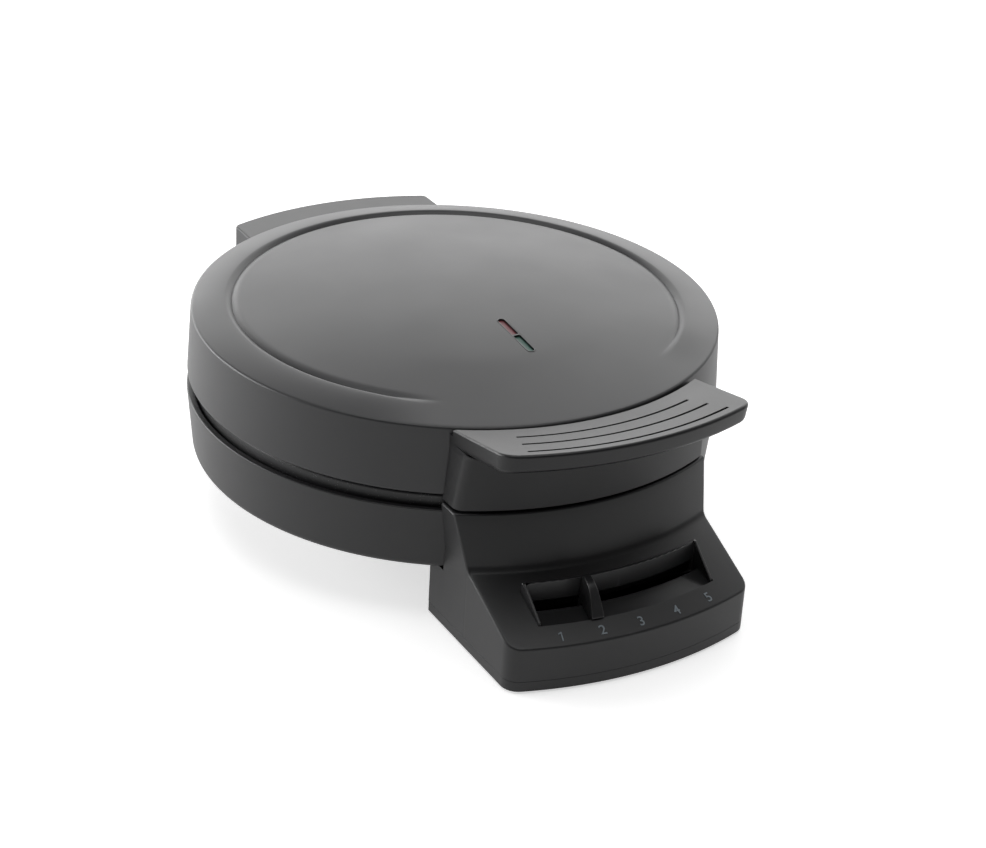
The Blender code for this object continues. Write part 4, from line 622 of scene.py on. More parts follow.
# cooking plates
wafflePlate = {
    "radius": 0.1053, "core": 0.1015, "gap": 0.0003, "flange": 0.0086, "depth": 0.0106, "pocket": 0.0073,
    "rimRound": 0.0012, "edge": 0.0005, "draft": 1.028, "sink": 0.0004,
    "lobe": 0.0930, "lobeCleft": 0.0110, "landCleft": 0.0330, "lobeAngle": 6.0, "landAngle": 8.0,
    "studHeight": 0.0035, "studHalf": 0.0024, "studTop": 0.6, "ridgeHeight": 0.0045, "ridgeHalf": 0.0015,
    "ridgeStart": 0.0085, "mating": 0.0566,
    "studs": [(0.36, 0.0), (0.53, -0.12), (0.53, 0.12), (0.67, 0.0), (0.72, -0.24), (0.72, 0.24),
              (0.80, -0.09), (0.80, 0.09)],
}


def turnedBlock(name, low, high, turn, floor, rise, share=1):  # upright block, its top drawn in by a share
    points = []
    for x, y in (low, (high[0], low[1]), high, (low[0], high[1])):
        points.append((x * cos(turn) - y * sin(turn), x * sin(turn) + y * cos(turn)))
    piece = drawPath(name, [(x, y, floor) for x, y in points])
    pull(0, 0, rise)
    if share != 1:
        middle = [sum(p[k] for p in points) / len(points) for k in (0, 1)]
        bpy.ops.transform.resize(value=(share, share, 1), center_override=(*middle, floor + rise))
    return cleanUp(piece)


def heartOutline(values, steps=200):  # five hearts that meet in the middle
    outline = []
    spread = tau / 5
    for i in range(steps):
        angle = tau * i / steps
        off = abs((angle + spread / 2) % spread - spread / 2)
        cleft = values["lobeCleft"] * exp(-(degrees(off) / values["lobeAngle"]) ** 2)
        land = values["landCleft"] * exp(-(degrees(spread / 2 - off) / values["landAngle"]) ** 2)
        outline.append(frontPoint(values["lobe"] - cleft - land, angle))
    return outline


def makePlate(values, name, body, node):  # built with its face upwards at 0, turned over for the lid
    radius, core, gap, edge = values["radius"], values["core"], values["gap"], values["rimRound"]
    profile = [(0, -gap), (0.03, -gap), (0.07, -gap)]
    profile += arcPoints((radius - edge, -gap - edge), edge, 90, 0, 4)
    profile += [(radius, -values["flange"]), (core, -values["flange"])]
    profile += [(core, -values["depth"]), (0, -values["depth"])]
    piece = turnedPiece(name, profile, 180)
    pocket = drawPath("pocket", [(x, y, -values["pocket"]) for x, y in heartOutline(values)])
    pull(0, 0, values["pocket"] + 0.002)
    bpy.ops.transform.resize(value=(values["draft"], values["draft"], 1), center_override=(0, 0, 0))
    carve(piece, cleanUp(pocket))
    floor = -values["pocket"] - values["sink"]
    raised = []
    for heart in range(5):
        for along, across in values["studs"]:
            x, y = values["lobe"] * across, -values["lobe"] * along
            half, rise = values["studHalf"], values["sink"] + values["studHeight"]
            low, high = (x - half, y - half), (x + half, y + half)
            raised.append(turnedBlock("stud", low, high, heart * tau / 5, floor, rise, values["studTop"]))
    for heart in range(5):
        half, end = values["ridgeHalf"], values["lobe"] - values["landCleft"] + 0.003
        rise = values["ridgeHeight"] + values["sink"]
        turn = heart * tau / 5 + tau / 10
        raised.append(turnedBlock("ridge", (-half, -end), (half, -values["ridgeStart"]), turn, floor, rise))
    for other in raised[1:]:
        joinMeshes(raised[0], other)
    carve(piece, raised[0], how="UNION")
    roundEdges(piece, values["edge"], 2, 30)
    if body == "lid":
        editAll(piece)
        bpy.ops.transform.resize(value=(1, 1, -1), center_override=(0, 0, 0))
        cleanUp(piece)
    fixPlace(piece, location=(0, 0, values["mating"]))
    settle(piece, finishes["plate"], body, node, slot="coated_aluminium")


makePlate(wafflePlate, "lowerGrid", "base", "lower_plate")
makePlate(wafflePlate, "upperGrid", "lid", "upper_plate")

# control housing: sloping panel in front, neck up to the rim of the bowl
controlBody = {
    "halfWidth": 0.0528, "topHalfWidth": 0.0555, "reach": 0.1540, "corner": 0.0070, "rear": 0.0830,
    "bottom": 0.0053, "panelFront": 0.0192, "neckRadius": 0.1230, "neckFoot": 0.0341,
    "neckTopRadius": 0.1177, "neckTop": 0.0553, "fillet": 0.0045, "edge": 0.0011, "wall": 0.0022,
    "slotHalf": 0.0370, "slotInner": 0.1330, "slotOuter": 0.1455, "slotWall": 0.0013, "slotGap": 0.00015,
    "slotBottom": 0.0185, "insideBottom": 0.0150, "bowlGap": 0.0003,
    "coverBottom": 0.0010, "coverTop": 0.0052, "coverEdge": 0.0002, "above": 0.08,
}


def panelHeight(radius, values=controlBody):
    share = (radius - values["neckRadius"]) / (values["reach"] - values["neckRadius"])
    return values["neckFoot"] + (values["panelFront"] - values["neckFoot"]) * share


def slotOutline(values, grow, inner, outer, steps=24):
    half = values["slotHalf"] + grow
    points = []
    for radius, sign in ((outer, 1), (inner, -1)):
        limit = asin(half / radius)
        for i in range(steps + 1):
            points.append(frontPoint(radius, sign * limit * (2 * i / steps - 1)))
    return points


def bodyProfile(values):  # roof of the housing from the neck's top down to the panel, with its normals
    foot = Vector((values["neckRadius"], values["neckFoot"]))
    top = Vector((values["neckTopRadius"], values["neckTop"]))
    reach = values["reach"]
    panel = Vector((reach - foot.x, panelHeight(reach) - foot.y)).normalized()
    neck = (top - foot).normalized()
    upwards, neckOut, panelOut = Vector((0, 1)), Vector((neck.y, -neck.x)), Vector((-panel.y, panel.x))
    edge, fillet = values["edge"], values["fillet"]
    points = [(Vector((radius, top.y)), upwards) for radius in (0.104, 0.108, 0.112)]
    centre = top - edge * (upwards + neckOut) / (1 + neckOut.y)
    for i in range(5):
        normal = upwards.slerp(neckOut, i / 4)
        points.append((centre + edge * normal, normal))
    neckStart = points[-1][0]
    half = panel.angle(neck) / 2
    middle = foot + (panel + neck).normalized() * (fillet / sin(half))
    first = foot + neck * (fillet / tan(half))
    for i in range(1, 5):
        points.append((neckStart.lerp(first, i / 5), neckOut))
    for i in range(9):
        normal = neckOut.slerp(panelOut, i / 8)
        points.append((middle - fillet * normal, normal))
    last = points[-1][0]
    cornerX = values["halfWidth"] - values["corner"]
    cornerY = sqrt((reach - values["corner"]) ** 2 - cornerX ** 2)
    end = Vector((hypot(values["halfWidth"], cornerY), 0))
    end.y = panelHeight(end.x)
    for i in range(1, 10):
        points.append((last.lerp(end, i / 10), panelOut))
    return points, panelOut


def bodyHalfWidth(values, height):
    share = min(max((height - values["neckFoot"]) / (values["neckTop"] - values["neckFoot"]), 0), 1)
    return values["halfWidth"] + (values["topHalfWidth"] - values["halfWidth"]) * share


def facing(normal, x, y):  # a profile's normal, turned to the place where the profile stands
    radius = hypot(x, y)
    return Vector((normal.x * x / radius, normal.x * y / radius, normal.y))


def bodyForm(values, frontSteps=48, arcSteps=4):
    profile, panelOut = bodyProfile(values)
    neckFoot, bottom = values["neckFoot"], values["bottom"]
    lean = (values["topHalfWidth"] - values["halfWidth"]) / (values["neckTop"] - neckFoot)
    rearCorner = Vector((values["topHalfWidth"], -values["rear"], values["neckTop"]))
    corners = [(rearCorner, Vector((0, 0, 1)), Vector((1, 0, -lean)))]
    for (radius, height), normal in profile:
        x = bodyHalfWidth(values, height)
        y = -sqrt(radius ** 2 - x ** 2)
        side = Vector((1, 0, -lean if height > neckFoot else 0))
        corners.append((Vector((x, y, height)), facing(normal, x, y), side))
    turned, front = frontStations(
        values["halfWidth"], values["reach"], values["corner"], frontSteps=frontSteps,
    )
    for (x, y), out in turned + front:
        corners.append((Vector((x, y, panelHeight(hypot(x, y)))), facing(panelOut, x, y), Vector((*out, 0))))
    sideCount = len(corners) - len(front)
    arcs = [edgeArc(*corner, values["edge"], arcSteps) for corner in corners]
    loops = []
    for step in range(arcSteps + 1):
        column = [arc[step] for arc in arcs]
        loops.append(column + mirrored(column[:sideCount]))
    roof = layGrid("controlBody", surfaceRows(loops[0], sideCount, frontSteps))
    foot = []
    for i, point in enumerate(loops[-1]):
        x = point.x
        if i < sideCount or i >= len(loops[-1]) - sideCount:
            x = copysign(min(abs(x), values["halfWidth"]), x)
        foot.append(Vector((x, point.y, point.z)))
    lift = [Vector((f.x, f.y, min(p.z - 0.0001, neckFoot))) for f, p in zip(foot, loops[-1])]
    knee = [Vector((f.x, f.y, min(f.z, neckFoot) * 0.8 + 0.2 * bottom)) for f in foot]
    base = [Vector((f.x, f.y, bottom)) for f in foot]
    joinMeshes(roof, layGrid("wall", loops + [lift, knee, base]))
    cleanUp(roof)
    fillAt(roof, 1, -values["rear"])
    fillAt(roof, 2, bottom)
    return cleanUp(roof)


def bowlSpace():
    gap = controlBody["bowlGap"]
    low, wide, top = baseBowl["bottom"] - gap, baseBowl["topRadius"] + gap, baseBowl["top"]
    profile = [(0, low), (baseBowl["bottomRadius"] + gap, low), (wide, top), (wide, 0.09), (0, 0.09)]
    return turnedPiece("bowlSpace", profile, 180)


def makeControlBody(values):
    piece = bodyForm(values)
    carve(piece, bowlSpace())
    inner, outer, grow = values["slotInner"], values["slotOuter"], values["slotWall"] + values["slotGap"]
    slot = slotOutline(values, grow, inner - grow, outer)
    carve(piece, prismPiece("slot", slot, values["slotBottom"], values["above"]))
    wider = slotOutline(values, 0.003, inner - 0.0045, outer + 0.003)
    inside = prismPiece("inside", wider, values["insideBottom"], values["above"])
    back, front, wall = inner - 0.006, outer + 0.005, values["wall"]
    under = [(back, 0.0), (front, 0.0), (front, panelHeight(front) - wall), (back, panelHeight(back) - wall)]
    carve(inside, sectorPiece("insideTop", under, pi / 4), how="INTERSECT")
    carve(piece, inside)
    settle(piece, finishes["satin"], "base", "control_housing", slot="satin_plastic")


def makeControlCover(values):
    plan = planOutline(values["halfWidth"], values["reach"], values["corner"], values["rear"])
    piece = prismPiece("controlCover", plan, values["coverBottom"], values["coverTop"])
    roundEdges(piece, values["coverEdge"], 2)
    settle(piece, finishes["satin"], "base", "control_bottom_cover", slot="satin_plastic")


makeControlBody(controlBody)
makeControlCover(controlBody)

# slider tray: sloping floor, a slit behind it, and thin walls that rise over the panel at the back and sides
sliderTray = {
    "floorBack": (0.1365, 0.0243), "floorFront": (0.1450, 0.0220), "trench": 0.0212, "under": 0.0190,
    "slitTop": 0.0262, "slitEnd": 0.004, "crest": 0.0341, "frontRise": 0.0002, "edge": 0.00035,
}


def makeSliderTray(values, housing):
    wall, inner, outer = housing["slotWall"], housing["slotInner"], housing["slotOuter"]
    under, trench, slitTop = values["under"], values["trench"], values["slitTop"]
    floorBack, floorFront = values["floorBack"], values["floorFront"]
    piece = prismPiece("sliderTray", slotOutline(housing, wall, inner - wall, floorFront[0]), under, 0.045)
    carve(piece, prismPiece("within", slotOutline(housing, 0.0001, inner, outer + 0.004), trench, 0.06))
    back, front = inner - 0.004, outer + 0.004
    low = panelHeight(outer) + values["frontRise"]
    crest = values["crest"]
    over = [(back, crest), (inner, crest), (outer, low), (front, low), (front, 0.06), (back, 0.06)]
    carve(piece, sectorPiece("overWalls", over, pi / 4))
    slit = [(back, trench), (inner + 0.001, trench), (inner + 0.001, slitTop), (back, slitTop)]
    carve(piece, sectorPiece("slit", slit, asin(housing["slotHalf"] / inner) - values["slitEnd"]))
    edge, foot = floorFront[0] - 0.0001, under + 0.0001
    floor = [(floorBack[0], foot), (edge, foot), (edge, floorFront[1]), floorBack]
    part = sectorPiece("trayFloor", floor, 0.30)
    wide = housing["slotHalf"] + wall / 2
    carve(part, blockPiece("trayWidth", (-wide, -0.15, 0), (wide, -0.12, 0.05)), how="INTERSECT")
    carve(piece, part, how="UNION")
    roundEdges(piece, values["edge"], 3, 40)
    settle(piece, finishes["gloss"], "base", "slider_track", slot="gloss_plastic")


makeSliderTray(sliderTray, controlBody)

# slider knob: a fin, thicker at its foot, turned to the setting that the slider rests at
knobFin = {
    "back": 0.13345, "stemFront": 0.1361, "foot": 0.0223, "halfFoot": 0.0027, "halfTop": 0.0015,
    "restAngle": -6.25, "edge": 0.0005, "floorGap": 0.0004, "floorRun": 0.0088,
    "profile": [(0.13345, 0.0345), (0.1340, 0.0351), (0.1347, 0.0353), (0.1370, 0.0350), (0.1390, 0.0341),
                (0.1408, 0.0327), (0.1425, 0.0307), (0.1440, 0.0284), (0.1454, 0.0258), (0.1462, 0.0243),
                (0.1464, 0.0238), (0.1462, 0.0236), (0.1451, 0.0236)],
}


def knobFoot(radius):  # height of the fin's underside, a little over the tray's floor
    back, front = sliderTray["floorBack"], sliderTray["floorFront"]
    return back[1] + (front[1] - back[1]) * (radius - back[0]) / knobFin["floorRun"] + knobFin["floorGap"]


def makeKnobFin(values):
    foot, stem, half = values["foot"], values["stemFront"], values["halfFoot"]
    outline = [(values["back"], foot)] + values["profile"]
    outline += [(0.1450, knobFoot(0.1450)), (stem, knobFoot(stem)), (stem, foot)]
    piece = drawPath("knobFin", [(-half, -r, z) for r, z in outline])
    pull(2 * half, 0, 0)
    cleanUp(piece)
    top = max(z for r, z in outline)
    for height in sorted({round(z, 6) for r, z in outline}):  # each level drawn in towards the top
        selectAt(piece, 2, height, 1e-6)
        width = 1 + (values["halfTop"] / half - 1) * (height - foot) / (top - foot)
        bpy.ops.transform.resize(value=(width, 1, 1), center_override=(0, 0, height))
        bpy.ops.object.mode_set(mode="OBJECT")
    pocket = blockPiece("pocket", (-0.0018, -0.1392, 0.0), (0.0018, -0.1310, 0.0250))
    roundEdges(piece, values["edge"], 3, 50)
    carve(piece, pocket)
    fixPlace(piece, rotation_euler=(0, 0, radians(values["restAngle"])))
    settle(piece, finishes["gloss"], "slider", "slider_knob", slot="gloss_plastic")


makeKnobFin(knobFin)

# numbers of the scale, printed on the panel
scaleNumerals = {
    "radius": 0.1502, "step": 6.2, "size": 0.0056, "thick": 0.00008, "bolder": 0.00003, "lift": 0.00004,
    "one": [(-0.10, -1.95), (0.38, -1.95), (0.38, 1.95), (0.02, 1.95), (-0.98, 1.38), (-0.98, 0.86),
            (-0.10, 1.28)],
}


def writtenNumeral(body, values):
    deselectAll()
    bpy.ops.object.text_add(location=(0, 0, 0))
    text = bpy.context.object
    text.data.body = body
    text.data.size = values["size"]
    text.data.align_x, text.data.align_y = "CENTER", "CENTER"
    text.data.extrude = values["thick"]
    text.data.offset = values["bolder"]
    text.data.resolution_u = 6
    bpy.ops.object.convert(target="MESH")
    return cleanUp(bpy.context.object)


def makeNumerals(values):
    tilt = atan2(
        controlBody["neckFoot"] - controlBody["panelFront"], controlBody["reach"] - controlBody["neckRadius"],
    )
    outline = [(x / 1000, y / 1000) for x, y in values["one"]]
    texts = [prismPiece("numeral", outline, -values["thick"], values["thick"])]
    texts += [writtenNumeral(body, values) for body in "2345"]
    radius = values["radius"]
    for index, text in enumerate(texts):
        angle = radians(values["step"] * (index - 2))
        place = (*frontPoint(radius, angle), panelHeight(radius) + values["lift"])
        fixPlace(text, rotation_euler=(tilt, 0, angle), location=place)
    whole = joinMeshes(*texts)
    whole.name = "scaleNumerals"
    settle(whole, finishes["print"], "base", slot="satin_plastic")


makeNumerals(scaleNumerals)

# lid handle: sloping grip with three grooves over an upright apron
gripHandle = {
    "halfWidth": 0.0530, "spread": 1.0377, "reach": 0.1440, "corner": 0.0090, "rear": 0.0830, "inner": 0.1094,
    "innerTop": 0.0861, "frontTop": 0.0938, "thickness": 0.0080, "apronTop": 0.1190, "apronBottom": 0.1175,
    "apronCorner": 0.0050, "bottom": 0.0563, "gripFoot": 0.0776, "fillet": 0.0026, "edge": 0.0010,
    "underEdge": 0.0026, "lean": 0.0016, "gap": 0.0003, "rimDepth": 0.0030, "rimWidth": 0.0006,
    "grooves": (0.1200, 0.1292, 0.1384), "grooveWidth": 0.0014, "grooveDepth": 0.0010, "grooveAngle": 18.0,
}


def gripHeight(radius, values=gripHandle):
    share = (radius - values["inner"]) / (values["reach"] - values["inner"])
    return values["innerTop"] + (values["frontTop"] - values["innerTop"]) * share


def gripPlate(values, frontSteps=48, arcSteps=4):  # sloping plate, rounded along its upper and lower edges
    half, rear, reach = values["halfWidth"], values["rear"], values["reach"]
    slope = (values["frontTop"] - values["innerTop"]) / (reach - values["inner"])
    normal = Vector((-slope, 1)).normalized()
    turned, front = frontStations(half, reach, values["corner"], frontSteps=frontSteps)
    start = turned[0][0][1]
    side = [((half, -rear + (start + rear) * i / 12), (1, 0)) for i in range(12)]
    sideCount = len(side) + len(turned)
    loops = []
    for sign, drop, edge in ((1, 0, values["edge"]), (-1, values["thickness"], values["underEdge"])):
        arcs = []
        for (x, y), out in side + turned + front:
            lean = max(-out[1], 0) * values["lean"] / values["thickness"]
            height = gripHeight(hypot(x, y)) - drop
            corner = Vector((x - out[0] * lean * drop, y - out[1] * lean * drop, height))
            arcs.append(edgeArc(corner, facing(normal, x, y) * sign, Vector((*out, -lean)), edge, arcSteps))
        for point in arcs[0]:
            point.y = -rear
        for step in range(arcSteps + 1):
            column = [arc[step] for arc in arcs]
            loops.append(column + mirrored(column[:sideCount]))
    upper, lower = loops[:arcSteps + 1], loops[arcSteps + 1:]
    piece = layGrid("gripHandle", surfaceRows(upper[0], sideCount, frontSteps))
    under = layGrid("under", surfaceRows(lower[0], sideCount, frontSteps))
    joinMeshes(piece, under, layGrid("wall", upper + lower[::-1]))
    cleanUp(piece)
    return fillAt(piece, 1, -rear)


def gripApron(values):  # upright skirt under the plate, hollowed where it meets the plate
    bottom, top, fillet = values["bottom"], values["apronTop"], values["fillet"]
    low, inset = values["apronBottom"], 0.0004
    start = gripHeight(top) - values["thickness"] - fillet
    levels = [(bottom, low - inset, inset), (bottom + inset, low, 0), (bottom + 0.012, (low + top) / 2, 0)]
    levels += [(start, top, 0)]
    for i in range(1, 7):
        angle = pi / 2 * i / 6
        levels.append((start + fillet * sin(angle) * 1.15, top + fillet * (1 - cos(angle)), 0))
    rows = []
    for height, reach, inset in levels:
        share = min(max((values["gripFoot"] - height) / (values["gripFoot"] - bottom), 0), 1)
        half = values["halfWidth"] * (1 + (values["spread"] - 1) * share) - inset
        outline = planOutline(half, reach, values["apronCorner"], values["rear"])
        rows.append([Vector((x, y, height)) for x, y in outline + outline[:1]])
    piece = cleanUp(layGrid("apron", rows))
    fillAt(piece, 2, levels[0][0])
    fillAt(piece, 2, levels[-1][0])
    return cleanUp(piece)


def lidSpace(gap):  # room for the lid's own wall
    skirt, rim = lidTop["skirtRadius"] + gap, lidTop["radius"] + gap
    profile = [(0, 0), (skirt, 0), (skirt, lidTop["skirtTop"]), (rim, 0.0845), (rim, 0.13), (0, 0.13)]
    return turnedPiece("lidSpace", profile, 180)


def makeGripHandle(values):
    piece = gripPlate(values)
    carve(piece, gripApron(values), how="UNION")
    carve(piece, lidSpace(values["gap"]))
    inner, top = values["inner"], values["innerTop"]
    deep, outer = top - values["rimDepth"], inner + values["rimWidth"]
    rim = [(0.09, deep), (inner, deep), (inner, top - 0.0005), (outer, gripHeight(outer) + 0.0001),
           (inner + 0.0008, top + 0.002), (0.09, top + 0.002)]
    carve(piece, sectorPiece("rimGroove", rim, pi / 3, steps=120))
    for radius in values["grooves"]:
        inner, outer = radius - values["grooveWidth"] / 2, radius + values["grooveWidth"] / 2
        low, high = -values["grooveDepth"], 0.002
        corners = ((inner, low), (outer, low), (outer, high), (inner, high))
        groove = [(r, gripHeight(r) + h) for r, h in corners]
        carve(piece, sectorPiece("groove", groove, radians(values["grooveAngle"]), steps=30))
    settle(piece, finishes["grip"], "lid", "lid_handle", slot="satin_plastic")


makeGripHandle(gripHandle)

# rear pieces
rearPieces = {
    "halfWidth": 0.0470, "reach": 0.1250, "corner": 0.0030, "front": 0.0885, "coverTop": 0.0826,
    "coverBottom": 0.0596, "wall": 0.0022, "innerCorner": 0.0012, "shoulder": 0.0471, "back": 0.0420,
    "bottom": 0.0053, "edge": 0.0008, "towerEdge": 0.0004, "hinge": 0.1145, "mating": 0.0566,
    "knuckle": 0.0053, "towerHalf": 0.0245, "armWidth": 0.0080, "sideGap": 0.0005, "rod": 0.0020,
    "gap": 0.0003, "inletHeight": 0.0200, "inletRadius": 0.0053, "plateBottom": 0.0010, "plateTop": 0.0050,
    "plateEdge": 0.0005,
}


def rearPlan(values, wall=0, corner=None):
    half, reach = values["halfWidth"] - wall, values["reach"] - wall
    return planOutline(half, reach, corner or values["corner"], values["front"] + wall, facing=1)


def knuckleBar(name, values, foot, low, high):  # round eye about the hinge axis on a straight stem
    hinge, mating, knuckle = values["hinge"], values["mating"], values["knuckle"]
    side = 1 if foot > mating else -1
    points = []
    for i in range(25):
        angle = pi * i / 24
        points.append((hinge - knuckle * cos(angle), mating - side * knuckle * sin(angle)))
    points += [(hinge + knuckle, foot), (hinge - knuckle, foot)]
    piece = drawPath(name, [(low, y, z) for y, z in points])
    pull(high - low, 0, 0)
    return cleanUp(piece)


def hingeBore(values, half):
    hinge, mating = values["hinge"], values["mating"]
    return rodPiece("bore", values["rod"] + values["gap"], (-half, hinge, mating), (half, hinge, mating))


def makeRearLidCover(values):
    top, wall = values["coverTop"], values["wall"]
    piece = prismPiece("rearLidCover", rearPlan(values), values["coverBottom"], top)
    roundEdges(piece, values["edge"], 3)
    inner = values["towerHalf"] + values["sideGap"]
    carve(piece, prismPiece("coverHollow", rearPlan(values, wall, values["innerCorner"]), 0.0, top - wall))
    for side in (-1, 1):
        low, high = sorted((side * inner, side * (inner + values["armWidth"])))
        carve(piece, knuckleBar("arm", values, top - 0.001, low, high), how="UNION")
    carve(piece, lidSpace(values["gap"]))
    low = (-inner, values["hinge"] - values["knuckle"] * 2, 0)
    carve(piece, blockPiece("towerNotch", low, (inner, values["reach"] + 0.002, values["mating"] + 0.0082)))
    carve(piece, hingeBore(values, 0.047))
    settle(piece, finishes["satin"], "lid", "lid_rear_cover", slot="satin_plastic")


def makeRearBody(values):
    piece = prismPiece("rearBody", rearPlan(values), values["bottom"], 0.0600)
    shoulder, start, far = values["shoulder"], baseBowl["topRadius"], values["reach"] + 0.003
    slope = (values["back"] - shoulder) / (values["reach"] - start)
    roof = [(0.04, 0), (far, 0), (far, shoulder + slope * (far - start)), (start, shoulder), (0.04, shoulder)]
    carve(piece, sectorPiece("rearRoof", roof, radians(72), middle=pi), how="INTERSECT")
    roundEdges(piece, values["edge"], 3)
    half = values["towerHalf"]
    tower = knuckleBar("tower", values, values["back"] - 0.002, -half, half)
    roundEdges(tower, values["towerEdge"], 2)
    carve(piece, tower, how="UNION")
    carve(piece, bowlSpace())
    carve(piece, hingeBore(values, 0.03))
    reach, height = values["reach"], values["inletHeight"]
    start, end = (0, reach - 0.009, height), (0, reach + 0.003, height)
    carve(piece, rodPiece("inlet", values["inletRadius"], start, end))
    settle(piece, finishes["satin"], "base", "rear_housing", slot="satin_plastic")


def makeRearBottom(values):
    piece = prismPiece("rearBottom", rearPlan(values), values["plateBottom"], values["plateTop"])
    roundEdges(piece, values["plateEdge"], 2)
    settle(piece, finishes["satin"], "base", "rear_bottom_cover", slot="satin_plastic")


makeRearLidCover(rearPieces)
makeRearBody(rearPieces)
makeRearBottom(rearPieces)


# indicator window: thin frame with a bar across, a red pane behind and a green pane in front, both sunk
def halfOf(piece, half, low, high):  # the share of a window piece on one side of the bar
    return carve(piece, blockPiece("side", (-half, low, -half), (half, high, half)), how="INTERSECT")


def makeWindow(values):
    half, wall, deep, gap = values["length"] / 2, values["wall"], values["deep"], values["gap"]
    piece = prismPiece("windowFrame", stadium(half, values["half"]), -deep, values["proud"])
    for side in (-1, 1):
        opening = prismPiece("opening", stadium(half - wall, values["half"] - wall), -deep - 0.001, 0.002)
        carve(piece, halfOf(opening, half, *sorted((side * values["bar"] / 2, side * half))))
    roundEdges(piece, values["edge"], 2)
    settle(layOnDome(piece), finishes["gloss"], "lid", "indicator_bezel", slot="gloss_plastic")
    panes = ("redPane", 1, "red_lens", "red"), ("greenPane", -1, "green_lens", "green")
    for name, side, node, shade in panes:
        outline = stadium(half - wall - gap, values["half"] - wall - gap)
        pane = prismPiece(name, outline, -deep + values["lensFoot"], -values["sunk"])
        halfOf(pane, half, *sorted((side * (values["bar"] / 2 + gap), side * half)))
        roundEdges(pane, values["lensEdge"], 2)
        settle(layOnDome(pane), finishes[shade], "lid", node, slot=node)


makeWindow(windowFrame)

# rubber feet
rubberFoot = {
    "radius": 0.0060, "height": 0.0017, "edge": 0.0004, "dimple": 0.0003, "dimpleRadius": 0.0028,
    "places": {
        "front_foot_left": (-0.0300, -0.1410), "front_foot_right": (0.0300, -0.1410),
        "rear_foot_left": (-0.0260, 0.1080), "rear_foot_right": (0.0260, 0.1080),
    },
}


def makeFoot(values, node, place):
    radius, height, edge = values["radius"], values["height"], values["edge"]
    dimple = values["dimpleRadius"]
    profile = [(0, values["dimple"]), (dimple, values["dimple"]), (dimple + 0.0004, 0)]
    profile += arcPoints((radius - edge, edge), edge, -90, 0, 4)
    profile += arcPoints((radius - edge, height - edge), edge, 0, 90, 4) + [(0, height)]
    piece = turnedPiece(node.replace("_", " ").title().replace(" ", ""), profile, 48)
    fixPlace(piece, location=(*place, 0))
    settle(piece, finishes["rubber"], "base", node, slot="rubber")


for node, place in rubberFoot["places"].items():
    makeFoot(rubberFoot, node, place)

# cord inlet bush and hinge rod
smallTurned = {
    "bushRadius": 0.0050, "bore": 0.0034, "flange": 0.0075, "flangeThick": 0.0010, "bushDepth": 0.0080,
    "rodEnd": 0.0345, "rodHead": 0.0034, "headThick": 0.0012, "round": 0.0005,
}


def makeBush(values, rear):
    bore, flange, outer, thick = values["bore"], values["flange"], values["bushRadius"], values["flangeThick"]
    edge, end = values["round"], values["bushDepth"]
    profile = [(bore, -thick)] + arcPoints((flange - edge, edge - thick), edge, -90, 0, 4)
    profile += [(flange, -0.0001), (outer, -0.0001), (outer, end), (bore, end), (bore, -thick)]
    piece = turnedPiece("cordGland", profile, 64)
    fixPlace(piece, location=(0, rear["reach"], rear["inletHeight"]), rotation_euler=(pi / 2, 0, 0))
    settle(cleanUp(piece), finishes["rubber"], "base", "cord_gland", slot="rubber")


def makeHingeRod(values, rear):
    end, head, rod, edge = values["rodEnd"], values["rodHead"], rear["rod"], values["round"]
    neck = end - values["headThick"]
    profile = [(0, -end)] + arcPoints((head - edge, -end + edge), edge, -90, 0, 4)
    profile += [(head, -neck), (rod, -neck), (rod, neck), (head, neck)]
    profile += arcPoints((head - edge, end - edge), edge, 0, 90, 4) + [(0, end)]
    piece = turnedPiece("hingeRod", profile, 48)
    fixPlace(piece, location=(0, rear["hinge"], rear["mating"]), rotation_euler=(0, pi / 2, 0))
    settle(cleanUp(piece), finishes["steel"], "base", "hinge_rod", slot="bare_steel")


makeBush(smallTurned, rearPieces)
makeHingeRod(smallTurned, rearPieces)

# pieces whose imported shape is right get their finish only, the rest of them steel
keptNodes = {
    "inner": ["slider_carriage", "thermostat_pinion", "lamp_holder"],
    "bakelite": ["thermostat"],
    "ceramic": ["terminal_block", "thermal_fuse"],
    "heater": ["lower_heater", "upper_heater"],
    "sheet": ["lower_heat_shield", "upper_heat_shield"],
    "leadCover": ["live_lead", "neutral_lead"],
    "lamp": ["red_lamp", "green_lamp"],
}
for name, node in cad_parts.items():
    if node.hide_render:
        continue
    shade = next((key for key, names in keptNodes.items() if name in names), "steel")
    node.data.materials.clear()
    node.data.materials.append(finishes[shade])
print("packed pieces finished")

# studio
studio = {
    "floorSize": 6.0, "floorColour": 0.86, "cameraLift": 0.58, "fadeStart": 0.7, "fadeEnd": 1.8,
    "mirrorLift": 0.32, "worldLevel": 0.10,
}


def seenStraight(paths):
    camera, glass = paths.outputs["Is Camera Ray"], paths.outputs["Is Transmission Ray"]
    return mathNode(paths.id_data, "MAXIMUM", camera, glass)


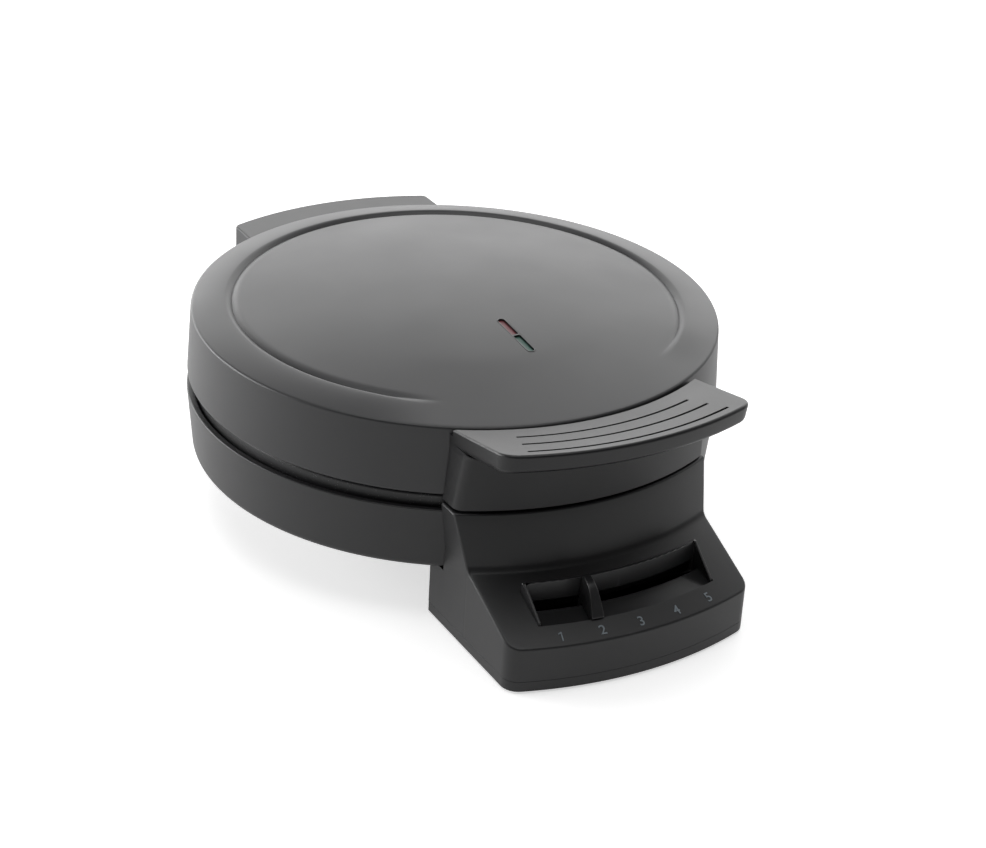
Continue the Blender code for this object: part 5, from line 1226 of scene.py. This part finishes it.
def makeFloor(values):
    deselectAll()
    bpy.ops.mesh.primitive_plane_add(size=values["floorSize"], location=(0, 0, 0))
    floor = justAdded("paleFloor")
    made, tree, shader = newMaterial("paleFloor")
    place = objectPlace(tree)
    cloud = addNode(tree, "ShaderNodeTexNoise", {"Vector": place, "Scale": 3.0}).outputs["Fac"]
    level = values["floorColour"]
    dark, light = (level, level, level, 1), (level + 0.01, level + 0.01, level + 0.01, 1)
    paths = addNode(tree, "ShaderNodeLightPath")
    away = addNode(tree, "ShaderNodeVectorMath", {0: place}, operation="LENGTH").outputs["Value"]
    fade = softStep(tree, away, values["fadeStart"], values["fadeEnd"], values["cameraLift"])
    mirror = mathNode(tree, "MULTIPLY", paths.outputs["Is Glossy Ray"], values["mirrorLift"])
    straight = mathNode(tree, "MULTIPLY", seenStraight(paths), fade)
    feed(shader, {
        "Base Color": mixColour(tree, cloud, dark, light), "Roughness": 0.9, "Specular IOR Level": 0.0,
        "Emission Color": (1, 1, 1, 1), "Emission Strength": mathNode(tree, "ADD", straight, mirror),
    })
    floor.data.materials.append(made)


def makeWorld(values):
    world = bpy.data.worlds.new("studioWorld")
    bpy.context.scene.world = world
    world.use_nodes = True
    tree = world.node_tree
    seen = seenStraight(addNode(tree, "ShaderNodeLightPath"))
    inputs = {"A": values["worldLevel"], "B": 1.0, "Factor": seen}
    level = addNode(tree, "ShaderNodeMix", inputs, data_type="FLOAT").outputs["Result"]
    feed(tree.nodes["Background"], {"Color": (1, 1, 1, 1), "Strength": level})


def addLamp(name, place, target, size, watts):
    deselectAll()
    bpy.ops.object.light_add(type="AREA", location=place)
    lamp = justAdded(name)
    lamp.data.shape = "RECTANGLE"
    lamp.data.size, lamp.data.size_y = size
    lamp.data.energy = watts
    lamp.visible_camera = False
    lamp.rotation_euler = (Vector(target) - Vector(place)).to_track_quat("-Z", "Y").to_euler()


makeFloor(studio)
makeWorld(studio)
lampBank = [
    ("backSoftbox", (0.80, 1.38, 0.76), (0, 0, 0.06), (2.3, 1.5), 26.5),
    ("lowSoftbox", (-0.60, 1.30, 0.26), (0, 0, 0.05), (1.8, 0.50), 12.5),
    ("topSoftbox", (-0.10, -0.10, 1.30), (0, 0, 0.05), (1.2, 1.0), 7.0),
    ("leftSoftbox", (-1.15, 0.85, 0.36), (0, 0, 0.05), (0.8, 0.6), 12.0),
    ("rightSoftbox", (1.30, 0.10, 0.60), (0, 0, 0.05), (0.9, 0.9), 3.0),
]
for lamp in lampBank:
    addLamp(*lamp)

# camera at the photograph's viewing angle
cameraPlace = {
    "azimuth": -30.839, "elevation": 27.688, "roll": 3.388, "distance": 0.9203, "lens": 82.66,
    "rimCentre": (0, 0.014, 0.0856), "right": 0.017955, "up": -0.047583,
}


def placeCamera(values):
    turn, lift, roll = (radians(values[key]) for key in ("azimuth", "elevation", "roll"))
    back = Vector((sin(turn) * cos(lift), -cos(turn) * cos(lift), sin(lift)))
    right = Vector((cos(turn), sin(turn), 0))
    up = right.cross(-back)
    place = Vector(values["rimCentre"]) + right * values["right"] + up * values["up"]
    across = right * cos(roll) + up * sin(roll)
    upright = -right * sin(roll) + up * cos(roll)
    deselectAll()
    bpy.ops.object.camera_add(location=place + back * values["distance"])
    camera = justAdded("photoCamera")
    columns = (across, upright, back)
    camera.rotation_euler = Matrix([[c[k] for c in columns] for k in range(3)]).to_euler()
    camera.data.lens = values["lens"]
    camera.data.sensor_width = 36
    camera.data.clip_start, camera.data.clip_end = 0.01, 20
    bpy.context.scene.camera = camera


placeCamera(cameraPlace)
bpy.context.scene.view_settings.view_transform = "Standard"

print("scene ready")
